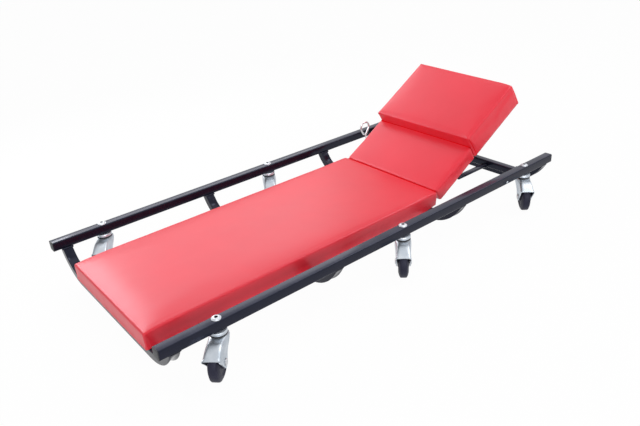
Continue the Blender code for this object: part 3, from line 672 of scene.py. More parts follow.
def make_welds():
    """Weld beads where the bows meet the rails and where the head's bars meet their neighbours."""
    half = TUBE / 2
    rows = []
    for place in BOWS:
        along = middle("crossbar_" + place).x
        for side, sign in zip(SIDES, (-1, 1)):
            rail_low, rail_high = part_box("rail_" + side)
            outer = rail_low.y if sign < 0 else rail_high.y
            first = outer - sign * WELD_SHORT
            inner = outer - sign * (TUBE + WELD_PAST)
            for edge in (along - half, along + half):
                rows.append(bead((edge, first, RAIL_LOW.z), (edge, inner, RAIL_LOW.z)))
            rows.append(bead((along - half, inner, RAIL_LOW.z), (along + half, inner, RAIL_LOW.z)))
    low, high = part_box("head_crossbar")
    for across in (low.y, high.y):
        for along in (low.x, high.x):
            rows.append(bead((along, across, low.z + WELD_INSET), (along, across, high.z - WELD_INSET)))
        rows.append(bead((low.x, across, low.z), (high.x, across, low.z)))
    for side in SIDES:
        bar_low, bar_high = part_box("support_bar_" + side)
        for height in (bar_low.z, bar_high.z):
            rows.append(bead((bar_high.x, bar_low.y, height), (bar_high.x, bar_high.y, height)))
    piece("weld_beads", joined(rows), POWDER_COAT, "frame", sharp=80)


# Pads


def pad_block(low, high, hollow, seam_ends, fold_ends):
    """A pad before it is puffed: a rounded block cut into an even net and hollowed below for its board.

    hollow is the board's room, seam_ends are the ends along X that meet another pad and keep their
    upper edges, and fold_ends those with folds at their corners. The net is finer at both.
    """
    bm = block(low, high)
    soften(bm, edges_along(bm, 2), PAD_CORNER, 4)
    rims = []
    for edge in bm.edges:
        lowest = min(vert.co.z for vert in edge.verts)
        at_seam = any(all(abs(vert.co.x - end) < SAME_LEVEL for vert in edge.verts) for end in seam_ends)
        if lowest > high.z - SAME_LEVEL and not at_seam:
            rims.append(edge)
    soften(bm, rims, PAD_EDGE, 4)
    room_low, room_high = hollow
    finer = []
    nets = {end: FOLD_NET for end in fold_ends} | {end: SEAM_NET for end in seam_ends}
    for end, net in nets.items():
        inward = 1 if end < (low.x + high.x) / 2 else -1
        finer += [end + inward * step for step in net]
    cuts = [
        net_lines(low.x, high.x) + finer + [room_low.x, room_high.x],
        net_lines(low.y, high.y) + [room_low.y, room_high.y],
        net_lines(low.z, high.z) + [low.z + SKIRT_LINE] + [high.z - step for step in SEAM_NET],
    ]
    for axis, values in enumerate(cuts):
        normal = Vector((0, 0, 0))
        normal[axis] = 1
        for value in values:
            everything = bm.verts[:] + bm.edges[:] + bm.faces[:]
            bmesh.ops.bisect_plane(
                bm, geom=everything, plane_co=normal * value, plane_no=normal, dist=NET_SNAP
            )
    below = []
    for face in bm.faces:
        centre = face.calc_center_median()
        over_room = room_low.x < centre.x < room_high.x and room_low.y < centre.y < room_high.y
        if face.normal.z < -0.9 and over_room:
            below.append(face)
    grown = bmesh.ops.extrude_face_region(bm, geom=below)["geom"]
    bmesh.ops.delete(bm, geom=below, context="FACES_ONLY")
    lifted = [item for item in grown if isinstance(item, bmesh.types.BMVert)]
    bmesh.ops.translate(bm, verts=lifted, vec=(0, 0, room_high.z - low.z))
    bmesh.ops.recalc_face_normals(bm, faces=bm.faces)
    return bm


def net_lines(low, high):
    """Evenly spaced cuts across a pad."""
    count = max(2, round((high - low) / NET_STEP))
    return [low + (high - low) * k / count for k in range(1, count)]


def put_in_order(bm):
    """Sort a pad's points, edges and faces by place, so that every run puffs it alike."""
    ranks = {vert: rank for rank, vert in enumerate(sorted(bm.verts, key=lambda vert: vert.co[:]))}
    bm.verts.sort(key=ranks.get)
    bm.verts.index_update()
    for parts in (bm.edges, bm.faces):
        ordered = sorted(parts, key=lambda part: sorted(vert.index for vert in part.verts))
        ranks = {part: rank for rank, part in enumerate(ordered)}
        parts.sort(key=ranks.get)


def puffed(bm, held, cap):
    """The pad blown up as cloth with the held points pinned, and no point moved further than cap."""
    put_in_order(bm)
    mesh = bpy.data.meshes.new("pad")
    bm.to_mesh(mesh)
    bm.free()
    cover = bpy.data.objects.new("pad", mesh)
    scene.collection.objects.link(cover)
    group = cover.vertex_groups.new(name="held")
    group.add([vert.index for vert in mesh.vertices if held(vert.co)], 1.0, "REPLACE")
    cloth = cover.modifiers.new("puff", "CLOTH")
    cloth.settings.quality = 4
    cloth.settings.mass = 0.3
    cloth.settings.tension_stiffness = 20
    cloth.settings.compression_stiffness = 20
    cloth.settings.shear_stiffness = 8
    cloth.settings.bending_stiffness = 1.5
    cloth.settings.vertex_group_mass = "held"
    cloth.settings.use_pressure = True
    cloth.settings.uniform_pressure_force = 4
    cloth.settings.effector_weights.gravity = 0
    cloth.collision_settings.use_collision = False
    cloth.point_cache.frame_start = 1
    cloth.point_cache.frame_end = PUFF_FRAMES
    for number in range(1, PUFF_FRAMES + 1):
        scene.frame_set(number)
    blown = cover.evaluated_get(bpy.context.evaluated_depsgraph_get())
    moved = [vert.co.copy() for vert in blown.data.vertices]
    shaped = bmesh.new()
    shaped.from_mesh(mesh)
    for vert, spot in zip(shaped.verts, moved):
        shift = spot - vert.co
        if shift.length > cap:
            shift *= cap / shift.length
        vert.co += shift
    scene.frame_set(1)
    bpy.data.objects.remove(cover)
    bpy.data.meshes.remove(mesh)
    return shaped


def eased(vert, end, inward, top):
    """Round a pad's upper edge at its end on the seam."""
    along = SEAM_ROUND - inward * (vert.co.x - end)
    down = SEAM_ROUND - (top - vert.co.z)
    reach = math.hypot(along, down)
    if along > 0 and down > 0 and reach > SEAM_ROUND:
        vert.co.x += inward * along * (1 - SEAM_ROUND / reach)
        vert.co.z -= down * (1 - SEAM_ROUND / reach)


def tailored(bm, low, high, crown, fold_ends, skew, tucked):
    """Crown a pad's top, pull its skirt in at the staples, and shape the corners and ends of the cover."""
    span = high - low
    centre = (low + high) / 2
    corners = [Vector((end, side, 0)) for end in fold_ends for side in (low.y, high.y)]
    for vert in bm.verts:
        along = 2 * (vert.co.x - centre.x) / span.x
        across = 2 * (vert.co.y - centre.y) / span.y
        height = (vert.co.z - low.z) / span.z
        if height > CROWN_START:
            lift = crown * (1 - min(1, abs(along)) ** 4) * (1 - min(1, abs(across)) ** 4)
            vert.co.z += lift * min(1, (height - CROWN_START) / CROWN_RISE)
        if height < PULL_HEIGHT:
            run = vert.co.x if abs(vert.normal.y) > 0.5 else vert.co.y
            staples = 0.5 + 0.5 * math.cos(2 * math.pi * run / PULL_STEP)
            pull = PULL_DEPTH * staples * (1 - height / PULL_HEIGHT)
            vert.co.x -= pull * vert.normal.x
            vert.co.y -= pull * vert.normal.y
        if height > WAVE_START:
            vert.co += vert.normal * sum(depth * noise.noise(vert.co * scale) for depth, scale in WAVES)
        for corner in corners:
            fold(vert, corner, centre, height)
        if skew:
            droop(vert, along, across, height)
            vert.co.x += skew * max(0, along) * (1 + across) / 2
        if tucked:
            tuck(vert, low, high, across, height)


def fold(vert, corner, centre, height):
    """The lapped fold of the cover beside an upright corner: a raised lap that ends in a groove."""
    beside = abs(vert.co.x - corner.x)
    inside = abs(vert.co.y - corner.y)
    if inside > FOLD_DEEP or beside > FOLD_REACH or not FOLD_LOW < height < FOLD_HIGH:
        return
    line = FOLD_LINE + FOLD_LINE * (1 - height)
    fade = min(1, (FOLD_HIGH - height) / FOLD_FADE)
    side = math.copysign(1, corner.y - centre.y)
    lap = FOLD_LAP if beside < line else 0.0
    groove = FOLD_GROOVE * math.exp(-(((beside - line) / FOLD_WIDTH) ** 2))
    vert.co.y += side * (lap - groove) * fade


def droop(vert, along, across, height):
    """Let the upper corners at the head of the pillow hang, the near one more."""
    if along > DROOP_START and abs(across) > DROOP_START and height > 0.5:
        reach = DROOP_RATE * (along - DROOP_START) * DROOP_RATE * (abs(across) - DROOP_START)
        depth = (DROOP_DEPTH - DROOP_LEAN * across) * reach ** 2 * min(1, 2 * height - 1)
        vert.co.z -= depth
        vert.co.x -= 0.5 * depth


def tuck(vert, low, high, across, height):
    """Tuck the bed's skirt in and up towards its head end, and roll its top down at the foot."""
    near_end = 1 - (high.x - vert.co.x) / TUCK_LENGTH
    if near_end > 0 and abs(across) > TUCK_SIDE and height < TUCK_HEIGHT:
        depth = TUCK_DEPTH * near_end ** 1.2 * (1 - height / TUCK_HEIGHT)
        vert.co.y -= math.copysign(depth, across)
        vert.co.x -= 0.4 * depth
        vert.co.z += depth * TUCK_RISE / TUCK_DEPTH
    near_foot = 1 - (vert.co.x - low.x) / ROLL_LENGTH
    if near_foot > 0 and height > ROLL_HEIGHT:
        vert.co.z -= ROLL_DROP * near_foot ** 2 * min(1, (height - ROLL_HEIGHT) / ROLL_HEIGHT)


def pad(
    name, node, body, low, high, hollow, place, cap, crown,
    seam_ends=(), fold_ends=(), skew=0.0, tucked=False, hinge_end=None,
):
    """One vinyl pad, puffed by simulation, tailored and put in its place.

    hollow is the room for its board, cap the most that a point is puffed, and crown the rise of its top.
    skew draws out its far corner at the head, tucked shapes the bed's two ends, and hinge_end is the end
    on the crease, whose upper edge is rounded.
    """
    bm = pad_block(low, high, hollow, seam_ends, fold_ends)
    room_low, room_high = hollow

    def held(spot):
        roomy = room_low.x - ROOM_HELD < spot.x < room_high.x + ROOM_HELD
        inside = abs(spot.y) < room_high.y + ROOM_HELD and spot.z < room_high.z + ROOM_HELD
        at_seam = any(abs(spot.x - end) < SEAM_HELD for end in seam_ends)
        return spot.z < low.z + SKIRT_HELD or (roomy and inside) or at_seam

    bm = puffed(bm, held, cap)
    bm.normal_update()
    top = [vert for vert in bm.verts if vert.normal.z > 0.97 and vert.co.z > high.z - TOP_BAND]
    for _ in range(TOP_ROUNDS):
        bmesh.ops.smooth_vert(bm, verts=top, factor=0.5, use_axis_z=True)
    bm.normal_update()
    for vert in bm.verts:
        vert.co.x = min(max(vert.co.x, low.x), high.x)
    tailored(bm, low, high, crown, fold_ends, skew, tucked)
    if hinge_end is not None:
        inward = 1 if hinge_end == low.x else -1
        for vert in bm.verts:
            eased(vert, hinge_end, inward, high.z)
    placed(bm, place)
    made = piece(name, bm, RED_VINYL, body, [node], sharp=180)
    finer = made.modifiers.new("finer", "SUBSURF")
    finer.levels = 1
    finer.render_levels = 1


def make_pads():
    """The bed's pad and the headrest's neck pad and pillow."""
    across = Vector((0, MID_Y, 0))
    level = Matrix.Translation(across)
    slack = Vector((BOARD_SLACK, BOARD_SLACK, BOARD_SLACK))
    board_low, board_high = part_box("main_board")
    room = (board_low - across - slack, board_high - across + slack)
    low = Vector((BED_FOOT, -BED_HALF, BED_UNDER))
    high = Vector((SEAM.x - SEAM_GAP, BED_HALF, BED_TOP))
    pad(
        "bed_pad", "main_cushion", "frame", low, high, room, level, BED_PUFF, BED_CROWN,
        seam_ends=[high.x], fold_ends=[low.x], tucked=True, hinge_end=high.x,
    )
    half = HEAD_BOARD_HALF + slack.y
    roof = HEAD_UNDER + BOARD_THICKNESS + slack.z
    low = Vector((SEAM_GAP, -HEAD_HALF, HEAD_UNDER))
    high = Vector((NECK_END - PAD_GAP, HEAD_HALF, NECK_TOP))
    room = (Vector((BOARD_INSET - slack.x, -half, HEAD_UNDER)), Vector((high.x, half, roof)))
    pad(
        "neck_pad", "neck_cushion", "headrest", low, high, room, HEAD_SLOPE, NECK_PUFF, NECK_CROWN,
        seam_ends=[low.x, high.x], hinge_end=low.x,
    )
    low = Vector((NECK_END + PAD_GAP, -HEAD_HALF, HEAD_UNDER))
    high = Vector((PILLOW_END, HEAD_HALF, PILLOW_TOP))
    room = (Vector((low.x, -half, HEAD_UNDER)), Vector((PILLOW_END - BOARD_INSET + slack.x, half, roof)))
    pad(
        "pillow_pad", "head_pillow", "headrest", low, high, room, HEAD_SLOPE, PILLOW_PUFF, PILLOW_CROWN,
        fold_ends=[low.x, high.x], skew=PILLOW_SKEW,
    )


def make_welt():
    """The sewn welt in the crease."""
    low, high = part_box("hinge_welt")
    length = high.y - low.y
    cap = WELT_RADIUS * 0.7
    profile = [(0, length), (cap, length), (WELT_RADIUS, length - WELT_RADIUS)]
    profile += [(WELT_RADIUS, WELT_RADIUS), (cap, 0), (0, 0)]
    bm = turned(profile, 16)
    matrix = Matrix.Translation((SEAM.x, high.y, SEAM.z - WELT_DROP)) @ Matrix.Rotation(math.pi / 2, 4, "X")
    # Its finish is painted crease shade, darker than the pads
    welt = piece("seam_welt", placed(bm, matrix), PAINTED_CREASE_SHADE, None, ["hinge_welt"])
    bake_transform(welt)


def make_crease_shade_cords():
    """Dark cords of painted shade that draw the creases round the pillow's front: along its foot and down
    the folds at its two sides.
    """
    reach = HEAD_HALF - FOOT_CREASE_INSET
    foot = [Vector((NECK_END, side * reach, NECK_TOP - FOOT_CREASE_SINK)) for side in (-1, 1)]
    parts = [wire(foot, FOOT_CREASE)]
    top = PILLOW_TOP - SIDE_CREASE_TOP
    bottom = HEAD_UNDER + SIDE_CREASE_FOOT
    for side in (-1, 1):
        fold_line = []
        for k in range(SIDE_CREASE_STEPS + 1):
            share = k / SIDE_CREASE_STEPS
            along = NECK_END + SIDE_CREASE_INSET + FOLD_LINE * share ** 0.8
            across = side * (HEAD_HALF + SIDE_CREASE_PROUD)
            fold_line.append(Vector((along, across, top + (bottom - top) * share)))
        parts.append(wire(fold_line, SIDE_CREASE))
    piece("pillow_crease_shade_cords", placed(joined(parts), HEAD_SLOPE), PAINTED_CREASE_SHADE, "headrest")


# Stand, hems and screws


def rounded(corners, radius, steps):
    """A path through corners with an arc at each bend."""
    path = [corners[0]]
    for before, corner, after in zip(corners, corners[1:], corners[2:]):
        back = (before - corner).normalized()
        onward = (after - corner).normalized()
        middle_way = (back + onward).normalized()
        half_turn = back.angle(onward) / 2
        centre = corner + middle_way * (radius / math.sin(half_turn))
        reach = radius / math.tan(half_turn)
        first = corner + back * reach - centre
        last = corner + onward * reach - centre
        path += [centre + first.slerp(last, k / steps) * radius for k in range(steps + 1)]
    return path + [corners[-1]]


def wire(path, radius):
    """A round wire along a path, with closed ends."""
    curve = bpy.data.curves.new("wire", "CURVE")
    curve.dimensions = "3D"
    curve.bevel_depth = radius
    curve.bevel_resolution = 4
    curve.use_fill_caps = True
    spline = curve.splines.new("POLY")
    spline.points.add(len(path) - 1)
    for point, spot in zip(spline.points, path):
        point.co = (*spot, 1)
    bent = bpy.data.objects.new("wire", curve)
    scene.collection.objects.link(bent)
    bm = bmesh.new()
    bm.from_mesh(bent.evaluated_get(bpy.context.evaluated_depsgraph_get()).to_mesh())
    bpy.data.objects.remove(bent)
    bpy.data.curves.remove(curve)
    bmesh.ops.remove_doubles(bm, verts=bm.verts, dist=SAME_SEAM)
    bmesh.ops.recalc_face_normals(bm, faces=bm.faces)
    return bm


def make_stand():
    """The bent wire stand under the headrest, with its loop handle."""
    lean = Vector((math.cos(HANDLE_TURN), 0, math.sin(HANDLE_TURN)))
    aside = Vector((lean.z, 0, -lean.x))
    corners = [
        Vector((0, STAND_END, 0)), Vector((0, -STAND_HALF, 0)), Vector((STAND_REACH, -STAND_HALF, 0)),
        Vector((STAND_REACH, STAND_HALF, 0)), Vector((0, STAND_HALF, 0)), Vector((0, HANDLE_Y, 0)),
        Vector((0, HANDLE_Y, 0)) + lean * HANDLE_LENGTH,
    ]
    path = rounded(corners, STAND_BEND, 10)[:-1]
    widest = 4 / math.sqrt(27)
    for k in range(1, HANDLE_POINTS + 1):
        turn = 2 * math.pi * k / HANDLE_POINTS
        up = lean * (STAND_BEND + HANDLE_LENGTH * (1 - math.cos(turn)) / 2)
        out = aside * (HANDLE_HALF / widest * math.sin(turn) * math.sin(turn / 2))
        beside = HANDLE_Y + (2 * WIRE_RADIUS + HANDLE_GAP) * k / HANDLE_POINTS
        path.append(up + out + Vector((0, beside, 0)))
    bm = placed(wire(path, WIRE_RADIUS), Matrix.Translation(STAND) @ HEAD_TURN)
    piece("bent_wire_stand", bm, CHROME, "stand", ["wire_stand"])


def strip(low, high):
    """A strip of folded vinyl."""
    bm = block(Vector(low), Vector(high))
    soften(bm, bm.edges[:], HEM_EDGE, 2)
    return bm


def staple(spot, turn):
    """The crown of a staple, pressed into the vinyl."""
    low = Vector((-STAPLE_HALF, -STAPLE_WIRE, -STAPLE_PROUD))
    high = Vector((STAPLE_HALF, STAPLE_WIRE, STAPLE_SUNK))
    bm = block(low, high)
    soften(bm, edges_along(bm, 1), STAPLE_BEND, 2)
    return placed(bm, Matrix.Translation(spot) @ Matrix.Rotation(turn, 4, "Z"))


def gaps_between(low, high, stops, room):
    """The stretches of a run that stay clear of the stops."""
    within = sorted(stop for stop in stops if low < stop < high)
    edges = [low] + [value for stop in within for value in (stop - room, stop + room)] + [high]
    return [(start, end) for start, end in zip(edges[::2], edges[1::2]) if end - start > HEM_LEAST]


def hem(low, high, under, stops, room, place, name, body):
    """The cover's hem, folded under a board and stapled, except where something bears on the board."""
    strips = []
    staples = []
    level = under - HEM_SHEET
    for sign in (-1, 1):
        edge = high.y if sign > 0 else low.y
        y_low, y_high = sorted((edge, edge - sign * HEM_WIDTH))
        for start, end in gaps_between(low.x + HEM_END, high.x - HEM_END, stops, room):
            strips.append(strip((start, y_low, level), (end, y_high, under)))
            count = max(1, round((end - start) / STAPLE_STEP))
            for k in range(count):
                along = start + (end - start) * (k + 0.5) / count
                tilt = STAPLE_TILT * noise.noise(Vector((along * 90, sign, 0)))
                staples.append(staple((along, edge - sign * STAPLE_INSET, level), tilt))
    reach = HEM_WIDTH + HEM_GAP
    for end, sign in ((low.x, 1), (high.x, -1)):
        x_low, x_high = sorted((end, end + sign * HEM_WIDTH))
        if any(x_low - room < stop < x_high + room for stop in stops):
            continue
        strips.append(strip((x_low, low.y + reach, level), (x_high, high.y - reach, under)))
        for k in range(END_STAPLES):
            across = low.y + reach + (high.y - low.y - 2 * reach) * (k + 0.5) / END_STAPLES
            staples.append(staple((end + sign * STAPLE_INSET, across, level), math.pi / 2))
    piece(name + "_hem", placed(joined(strips), place), RED_VINYL, body)
    piece(name + "_staples", placed(joined(staples), place), STEEL, body)


def screw(radius, height, length):
    """A cap screw that points up, its head below."""
    bm = socket_head(radius, height * 0.3, height, radius * 0.8, height * 0.5, radius * 0.45, length, 0.0)
    return placed(bm, Matrix.Rotation(math.pi, 4, "X"))


def make_undersides():
    """Hems, staples and screws under the two boards."""
    low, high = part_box("main_board")
    bows = [middle("crossbar_" + place).x for place in BOWS]
    hem(low, high, low.z, bows, TUBE / 2 + HEM_CLEAR_BOW, Matrix.Identity(4), "bed", "frame")
    screws = []
    for along in bows:
        for across in (MID_Y - BOARD_SCREW_Y, MID_Y + BOARD_SCREW_Y):
            bm = screw(BOARD_SCREW_RADIUS, BOARD_SCREW_HEIGHT, BOARD_SCREW_LENGTH)
            screws.append(placed(bm, Matrix.Translation((along, across, BOW_LOW.z))))
    piece("board_screws", joined(screws), [ZINC, SOCKET_SHADE], "frame")
    half = HEAD_BOARD_HALF - HEM_GAP
    low = Vector((BOARD_INSET, -half, HEAD_UNDER))
    high = Vector((PILLOW_END - BOARD_INSET, half, HEAD_UNDER))
    hinge = (STAND - SEAM).dot(Vector((math.cos(HEADREST_TILT), 0, math.sin(HEADREST_TILT))))
    hem(low, high, HEAD_UNDER, [hinge], HEM_CLEAR_HINGE, HEAD_SLOPE, "headrest", "headrest")
    screws = []
    for sign in (-1, 1):
        for along in (hinge - CLIP_SCREW_X, hinge + CLIP_SCREW_X):
            spot = (along, sign * CLIP_Y, HEAD_UNDER - CLIP_GAP - CLIP_SHEET)
            bm = screw(CLIP_SCREW_RADIUS, CLIP_SCREW_HEIGHT, CLIP_SCREW_LENGTH)
            screws.append(placed(bm, HEAD_SLOPE @ Matrix.Translation(spot)))
    piece("clip_screws", joined(screws), [ZINC, SOCKET_SHADE], "headrest")


# Casters


def caster_place(name):
    """Where a caster's swivel axis stands, which way it trails and how far, and its axle's height."""
    swivel = Vector(joints["swivel_" + name]["pos_m"])
    hub = Vector(joints["spin_" + name]["pos_m"])
    turn = math.atan2(hub.y - swivel.y, hub.x - swivel.x)
    trail = math.hypot(hub.x - swivel.x, hub.y - swivel.y)
    stand = Matrix.Translation((swivel.x, swivel.y, 0))
    return stand, stand @ Matrix.Rotation(turn, 4, "Z"), trail, hub.z


def fork_rim(along, trail, axle):
    """The height of a fork leg's lower rim."""
    reach = BOSS_RADIUS * math.cos(BOSS_TURN)
    drop = BOSS_RADIUS * math.sin(BOSS_TURN)
    if abs(along - trail) < reach:
        return axle - math.sqrt(BOSS_RADIUS ** 2 - (along - trail) ** 2)
    if along < trail:
        share = (trail - reach - along) / (trail - reach - FORK_FRONT)
        return axle - drop + (HOOD_TOP - LEG_FRONT - axle + drop) * share ** LEG_SWEEP
    share = (along - trail - reach) / (HOOD_REACH - trail - reach)
    return axle - drop + (HOOD_TOP - HOOD_DROP - HOOD_EDGE - axle + drop) * share


def fork_point(share, side, trail, axle):
    """A point of the stamped fork: share runs from its front to the hood's lip, side from leg to leg."""
    along = FORK_FRONT + (HOOD_REACH - FORK_FRONT) * share
    back = max(0.0, (along - trail) / (HOOD_REACH - trail))
    roof = HOOD_TOP - HOOD_DROP * back ** HOOD_CURVE
    rim = fork_rim(along, trail, axle)
    swell = FORK_SWELL * math.exp(-((along / FORK_SWELL_REACH) ** 2))
    half = FORK_HALF + HOOD_FLARE * back ** 2 + swell
    bend = min(FORK_BEND, 0.6 * (roof - rim))
    out = abs(side)
    if out <= ROOF_SHARE:
        across = (half - bend) * out / ROOF_SHARE
        height = roof
    elif out <= ROOF_SHARE + BEND_SHARE:
        turn = (out - ROOF_SHARE) / BEND_SHARE * math.pi / 2
        across = half - bend + bend * math.sin(turn)
        height = roof - bend + bend * math.cos(turn)
    else:
        down = (out - (ROOF_SHARE + BEND_SHARE)) / LEG_SHARE
        across = half + LEG_FLARE * down ** 3
        height = roof - bend + (rim - roof + bend) * down
    lip = max(0.0, (share - LIP_START) / LIP_LENGTH)
    return Vector((along, math.copysign(across, side), height + LIP_RISE * lip ** 2))


def fork_shape(trail, axle):
    """The stamped fork with its round crown, painted dark as shade under the cup."""
    shell = bmesh.new()
    bmesh.ops.create_grid(shell, x_segments=40, y_segments=20, size=1.0)
    for vert in shell.verts:
        vert.co = fork_point((vert.co.x + 1) / 2, vert.co.y, trail, axle)
    bmesh.ops.recalc_face_normals(shell, faces=shell.faces)
    bmesh.ops.solidify(shell, geom=shell.faces[:], thickness=FORK_SHEET)
    bottom = FORK_TOP - CROWN_HEIGHT
    inner = CROWN_RADIUS - CROWN_RIM
    profile = [(STEM_HOLE, bottom), (STEM_HOLE, FORK_TOP), (inner, FORK_TOP)]
    profile += [(CROWN_RADIUS, FORK_TOP - CROWN_RIM), (CROWN_RADIUS, bottom + CROWN_RIM), (inner, bottom)]
    crown = turned(profile, 40, ring=True)
    # The crown takes the second finish: painted shade for the dark gap under the cup
    for face in crown.faces:
        face.material_index = 1
    return joined([shell, crown])


def wheel_shape(axle):
    """A wheel with a crowned tread, sloping shoulders, dished sides and a raised hub."""
    hub = [(0.0043, 0.0114), (0.0094, 0.0114), (0.0101, 0.0107), (0.0104, 0.0088)]
    dish = [(0.012, 0.0083), (0.0192, 0.0083), (0.0205, 0.0092), (0.0215, WHEEL_HALF)]
    shoulder = [(axle - 0.0088, WHEEL_HALF - 0.0004), (axle - 0.0046, WHEEL_HALF - 0.0016)]
    tread = [(axle - 0.0008, 0.0064), (axle - 0.0001, 0.0052), (axle, 0.0004)]
    side = hub + dish + shoulder + tread
    profile = side + [(reach, -height) for reach, height in reversed(side)]
    return placed(turned(profile, 64, ring=True), Matrix.Rotation(math.pi / 2, 4, "X"))


def axle_shape():
    """A riveted axle with a domed head outside each leg."""
    dome = [(0, 0.0019), (0.0024, 0.0018), (0.0044, 0.0014), (0.0057, 0.0008), (0.0062, 0.0)]
    upper = [(reach, AXLE_SEAT + height) for reach, height in dome] + [(AXLE_RADIUS, AXLE_SEAT)]
    profile = upper + [(reach, -height) for reach, height in reversed(upper)]
    return placed(turned(profile, 32), Matrix.Rotation(math.pi / 2, 4, "X"))


def socket_head(radius, flange, height, flats, depth, shank, length, base):
    """A button head with a hex socket on a shank that hangs below its base."""
    rim = flats / 2 / math.cos(math.pi / 6) + SOCKET_RIM
    shoulder = radius * SHOULDER_SHARE
    profile = [(rim, base + height)]
    for k in range(1, 6):
        turn = math.pi / 2 * k / 5
        level = base + flange + (height - flange) * math.cos(turn)
        profile.append((rim + (shoulder - rim) * math.sin(turn), level))
    profile += [(radius - SHOULDER_EDGE, base + flange), (radius, base + flange * FLANGE_SHARE)]
    profile += [(radius, base), (shank, base), (shank, base - length), (0, base - length)]
    head = turned(profile, 48)
    loop = [edge for edge in head.edges if edge.is_boundary]
    hexagon = bmesh.ops.create_circle(head, segments=48, radius=rim)["verts"]
    for vert in hexagon:
        turn = math.atan2(vert.co.y, vert.co.x) % (math.pi / 3) - math.pi / 6
        vert.co *= flats / 2 / math.cos(turn) / rim
        vert.co.z = base + height
    inner = list({edge for vert in hexagon for edge in vert.link_edges})
    bmesh.ops.bridge_loops(head, edges=loop + inner)
    outside = set(head.faces)
    floor = stretched(head, inner, (0, 0, -depth))
    bmesh.ops.holes_fill(head, edges=floor, sides=0)
    # The socket's walls and floor take the second finish, painted shade
    for face in head.faces:
        face.material_index = 0 if face in outside else 1
    bmesh.ops.recalc_face_normals(head, faces=head.faces)
    return head


def bolt_shape():
    """A caster bolt: its button head on the rail, its shank down to the lock nut."""
    length = BOLT_SEAT - BOLT_LOW
    return socket_head(
        BOLT_RADIUS, BOLT_FLANGE, BOLT_HEIGHT, BOLT_FLATS, BOLT_SOCKET, BOLT_SHANK, length, BOLT_SEAT
    )


def cup_shape():
    """A pressed upper race: a cup with a rolled lip and a ring-shaped groove below."""
    low = CUP_LOW.z
    high = CUP_HIGH.z
    wall = CUP_RADIUS - CUP_WALL
    profile = [(STEM_HOLE, low), (STEM_HOLE, high), (CUP_RADIUS - 2 * CUP_LIP, high)]
    profile += [(CUP_RADIUS - 0.6 * CUP_LIP, high - 0.4 * CUP_LIP), (CUP_RADIUS, high - 1.6 * CUP_LIP)]
    profile += [(CUP_RADIUS, low + 0.3 * CUP_LIP), (CUP_RADIUS - 0.3 * CUP_LIP, low)]
    profile += [(wall, low), (wall, low + CUP_WALL), (CUP_BOSS, low + CUP_WALL), (CUP_BOSS, low)]
    return turned(profile, 48, ring=True)


def make_casters():
    """Six casters: cup and bolt stay with the frame, the fork and axle swivel, the wheel spins."""
    forked = [ZINC, SOCKET_SHADE]
    bolted = [BOLT_ZINC, SOCKET_SHADE]
    for name in CASTERS:
        stand, swivel, trail, axle = caster_place(name)
        hub = swivel @ Matrix.Translation((trail, 0, axle))
        turning = "caster_" + name
        bm = placed(fork_shape(trail, axle), swivel)
        piece("fork_stamped_" + name, bm, forked, turning, ["fork_" + name], sharp=40)
        bm = placed(axle_shape(), hub)
        piece("axle_rivet_" + name, bm, STEEL, turning, ["axle_" + name])
        bm = placed(wheel_shape(axle), hub)
        piece("wheel_tread_" + name, bm, WHEEL_POLYMER, "wheel_" + name, ["wheel_" + name])
        bm = placed(cup_shape(), stand)
        piece("race_cup_pressed_" + name, bm, ZINC, "frame", ["race_cup_" + name])
        bm = placed(bolt_shape(), stand)
        piece("bolt_button_" + name, bm, bolted, "frame", ["caster_bolt_" + name])


# Stage, light and camera


def make_stage():
    """A white floor, which shows white to the camera and keeps a faint shadow, under a white sky."""
    bm = bmesh.new()
    bmesh.ops.create_grid(bm, x_segments=1, y_segments=1, size=FLOOR_HALF)
    mesh = bpy.data.meshes.new("floor")
    bm.to_mesh(mesh)
    bm.free()
    floor = bpy.data.objects.new("floor", mesh)
    scene.collection.objects.link(floor)
    material, make = new_finish("floor")
    seen = light_seen(make)
    matt = make.node("ShaderNodeBsdfDiffuse", {}, {"Color": (0.8, 0.8, 0.8, 1)})
    glow = make.node("ShaderNodeEmission", {}, {"Color": (1, 1, 1, 1), "Strength": 1.0})
    mixed = make.node("ShaderNodeMixShader", {}, {0: seen * FLOOR_GLOW, 1: matt, 2: glow})
    make.node("ShaderNodeOutputMaterial", {}, {"Surface": mixed})
    mesh.materials.append(material)
    world = bpy.data.worlds.new("sky")
    world.use_nodes = True
    world.node_tree.nodes.clear()
    make = Socket(world.node_tree)
    strength = SKY_LIGHT + light_seen(make) * (1 - SKY_LIGHT)
    sky = make.node("ShaderNodeBackground", {}, {"Color": (1, 1, 1, 1), "Strength": strength})
    make.node("ShaderNodeOutputWorld", {}, {"Surface": sky})
    scene.world = world


def light_seen(make):
    """1 for what the camera sees, straight or in a reflection, and 0 for the light on surfaces."""
    camera = make.node("ShaderNodeLightPath", output="Is Camera Ray")
    glossy = make.node("ShaderNodeLightPath", output="Is Glossy Ray")
    through = make.node("ShaderNodeLightPath", output="Is Transmission Ray")
    return make.math("MINIMUM", camera + glossy + through, 1.0)


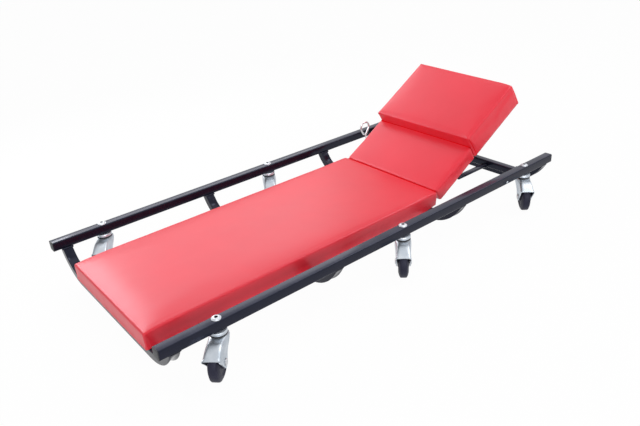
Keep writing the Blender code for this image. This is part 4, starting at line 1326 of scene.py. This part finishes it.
def softbox(name, spot, target, width, height, power):
    """A soft light from a panel."""
    lamp = bpy.data.lights.new(name, "AREA")
    lamp.energy = power
    lamp.shape = "RECTANGLE"
    lamp.size = width
    lamp.size_y = height
    light = bpy.data.objects.new(name, lamp)
    light.location = spot
    light.rotation_euler = (Vector(target) - Vector(spot)).to_track_quat("-Z", "Y").to_euler()
    scene.collection.objects.link(light)


def make_lights():
    """Soft panels round the object: where each stands, what it faces, its width, height and power."""
    softbox("sky_panel", (1.3, -0.75, 1.9), (0, 0, 0), 1.2, 1.2, 16)
    softbox("back_panel", (0.27, 1.0, 0.76), (0.1, 0, 0.08), 1.1, 0.54, 3.2)
    softbox("foot_panel", (-0.47, 1.0, 0.77), (-0.4, 0, 0.08), 0.46, 0.5, 5.2)
    softbox("high_panel", (0.85, 1.6, 2.55), (0.35, 0, 0.15), 1.2, 0.8, 1.7)
    softbox("front_panel", (-1.0, -2.2, 0.85), (0.1, 0, 0.12), 2.0, 0.5, 25)


def make_camera():
    """The photograph's view."""
    camera = bpy.data.cameras.new("camera")
    camera.lens = CAMERA_LENS
    camera.sensor_width = SENSOR_WIDTH
    view = bpy.data.objects.new("camera", camera)
    turn = Matrix.Rotation(-CAMERA_HEADING, 4, "Z") @ Matrix.Rotation(math.pi / 2 - CAMERA_DIP, 4, "X")
    view.matrix_world = Matrix.Translation(CAMERA_SPOT) @ turn @ Matrix.Rotation(CAMERA_ROLL, 4, "Z")
    scene.collection.objects.link(view)
    scene.camera = view


def dress_kept_nodes():
    """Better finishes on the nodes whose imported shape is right."""
    finishes = {"main_board": BED_PLY, "headrest_board": HEAD_PLY, "rail_rivet": ZINC}
    for name in CASTERS:
        finishes["lock_nut_" + name] = ZINC
    for side in SIDES:
        finishes["stand_clip_" + side] = ZINC
    for node, finish in finishes.items():
        for slot in frame["nodes"][node].material_slots:
            slot.material = finish


make_stage()
make_lights()
make_camera()
make_rails()
make_plugs()
make_bows()
make_head_bars()
make_welds()
make_pads()
make_welt()
make_crease_shade_cords()
make_stand()
make_undersides()
make_casters()
dress_kept_nodes()
scene.view_settings.view_transform = "Standard"
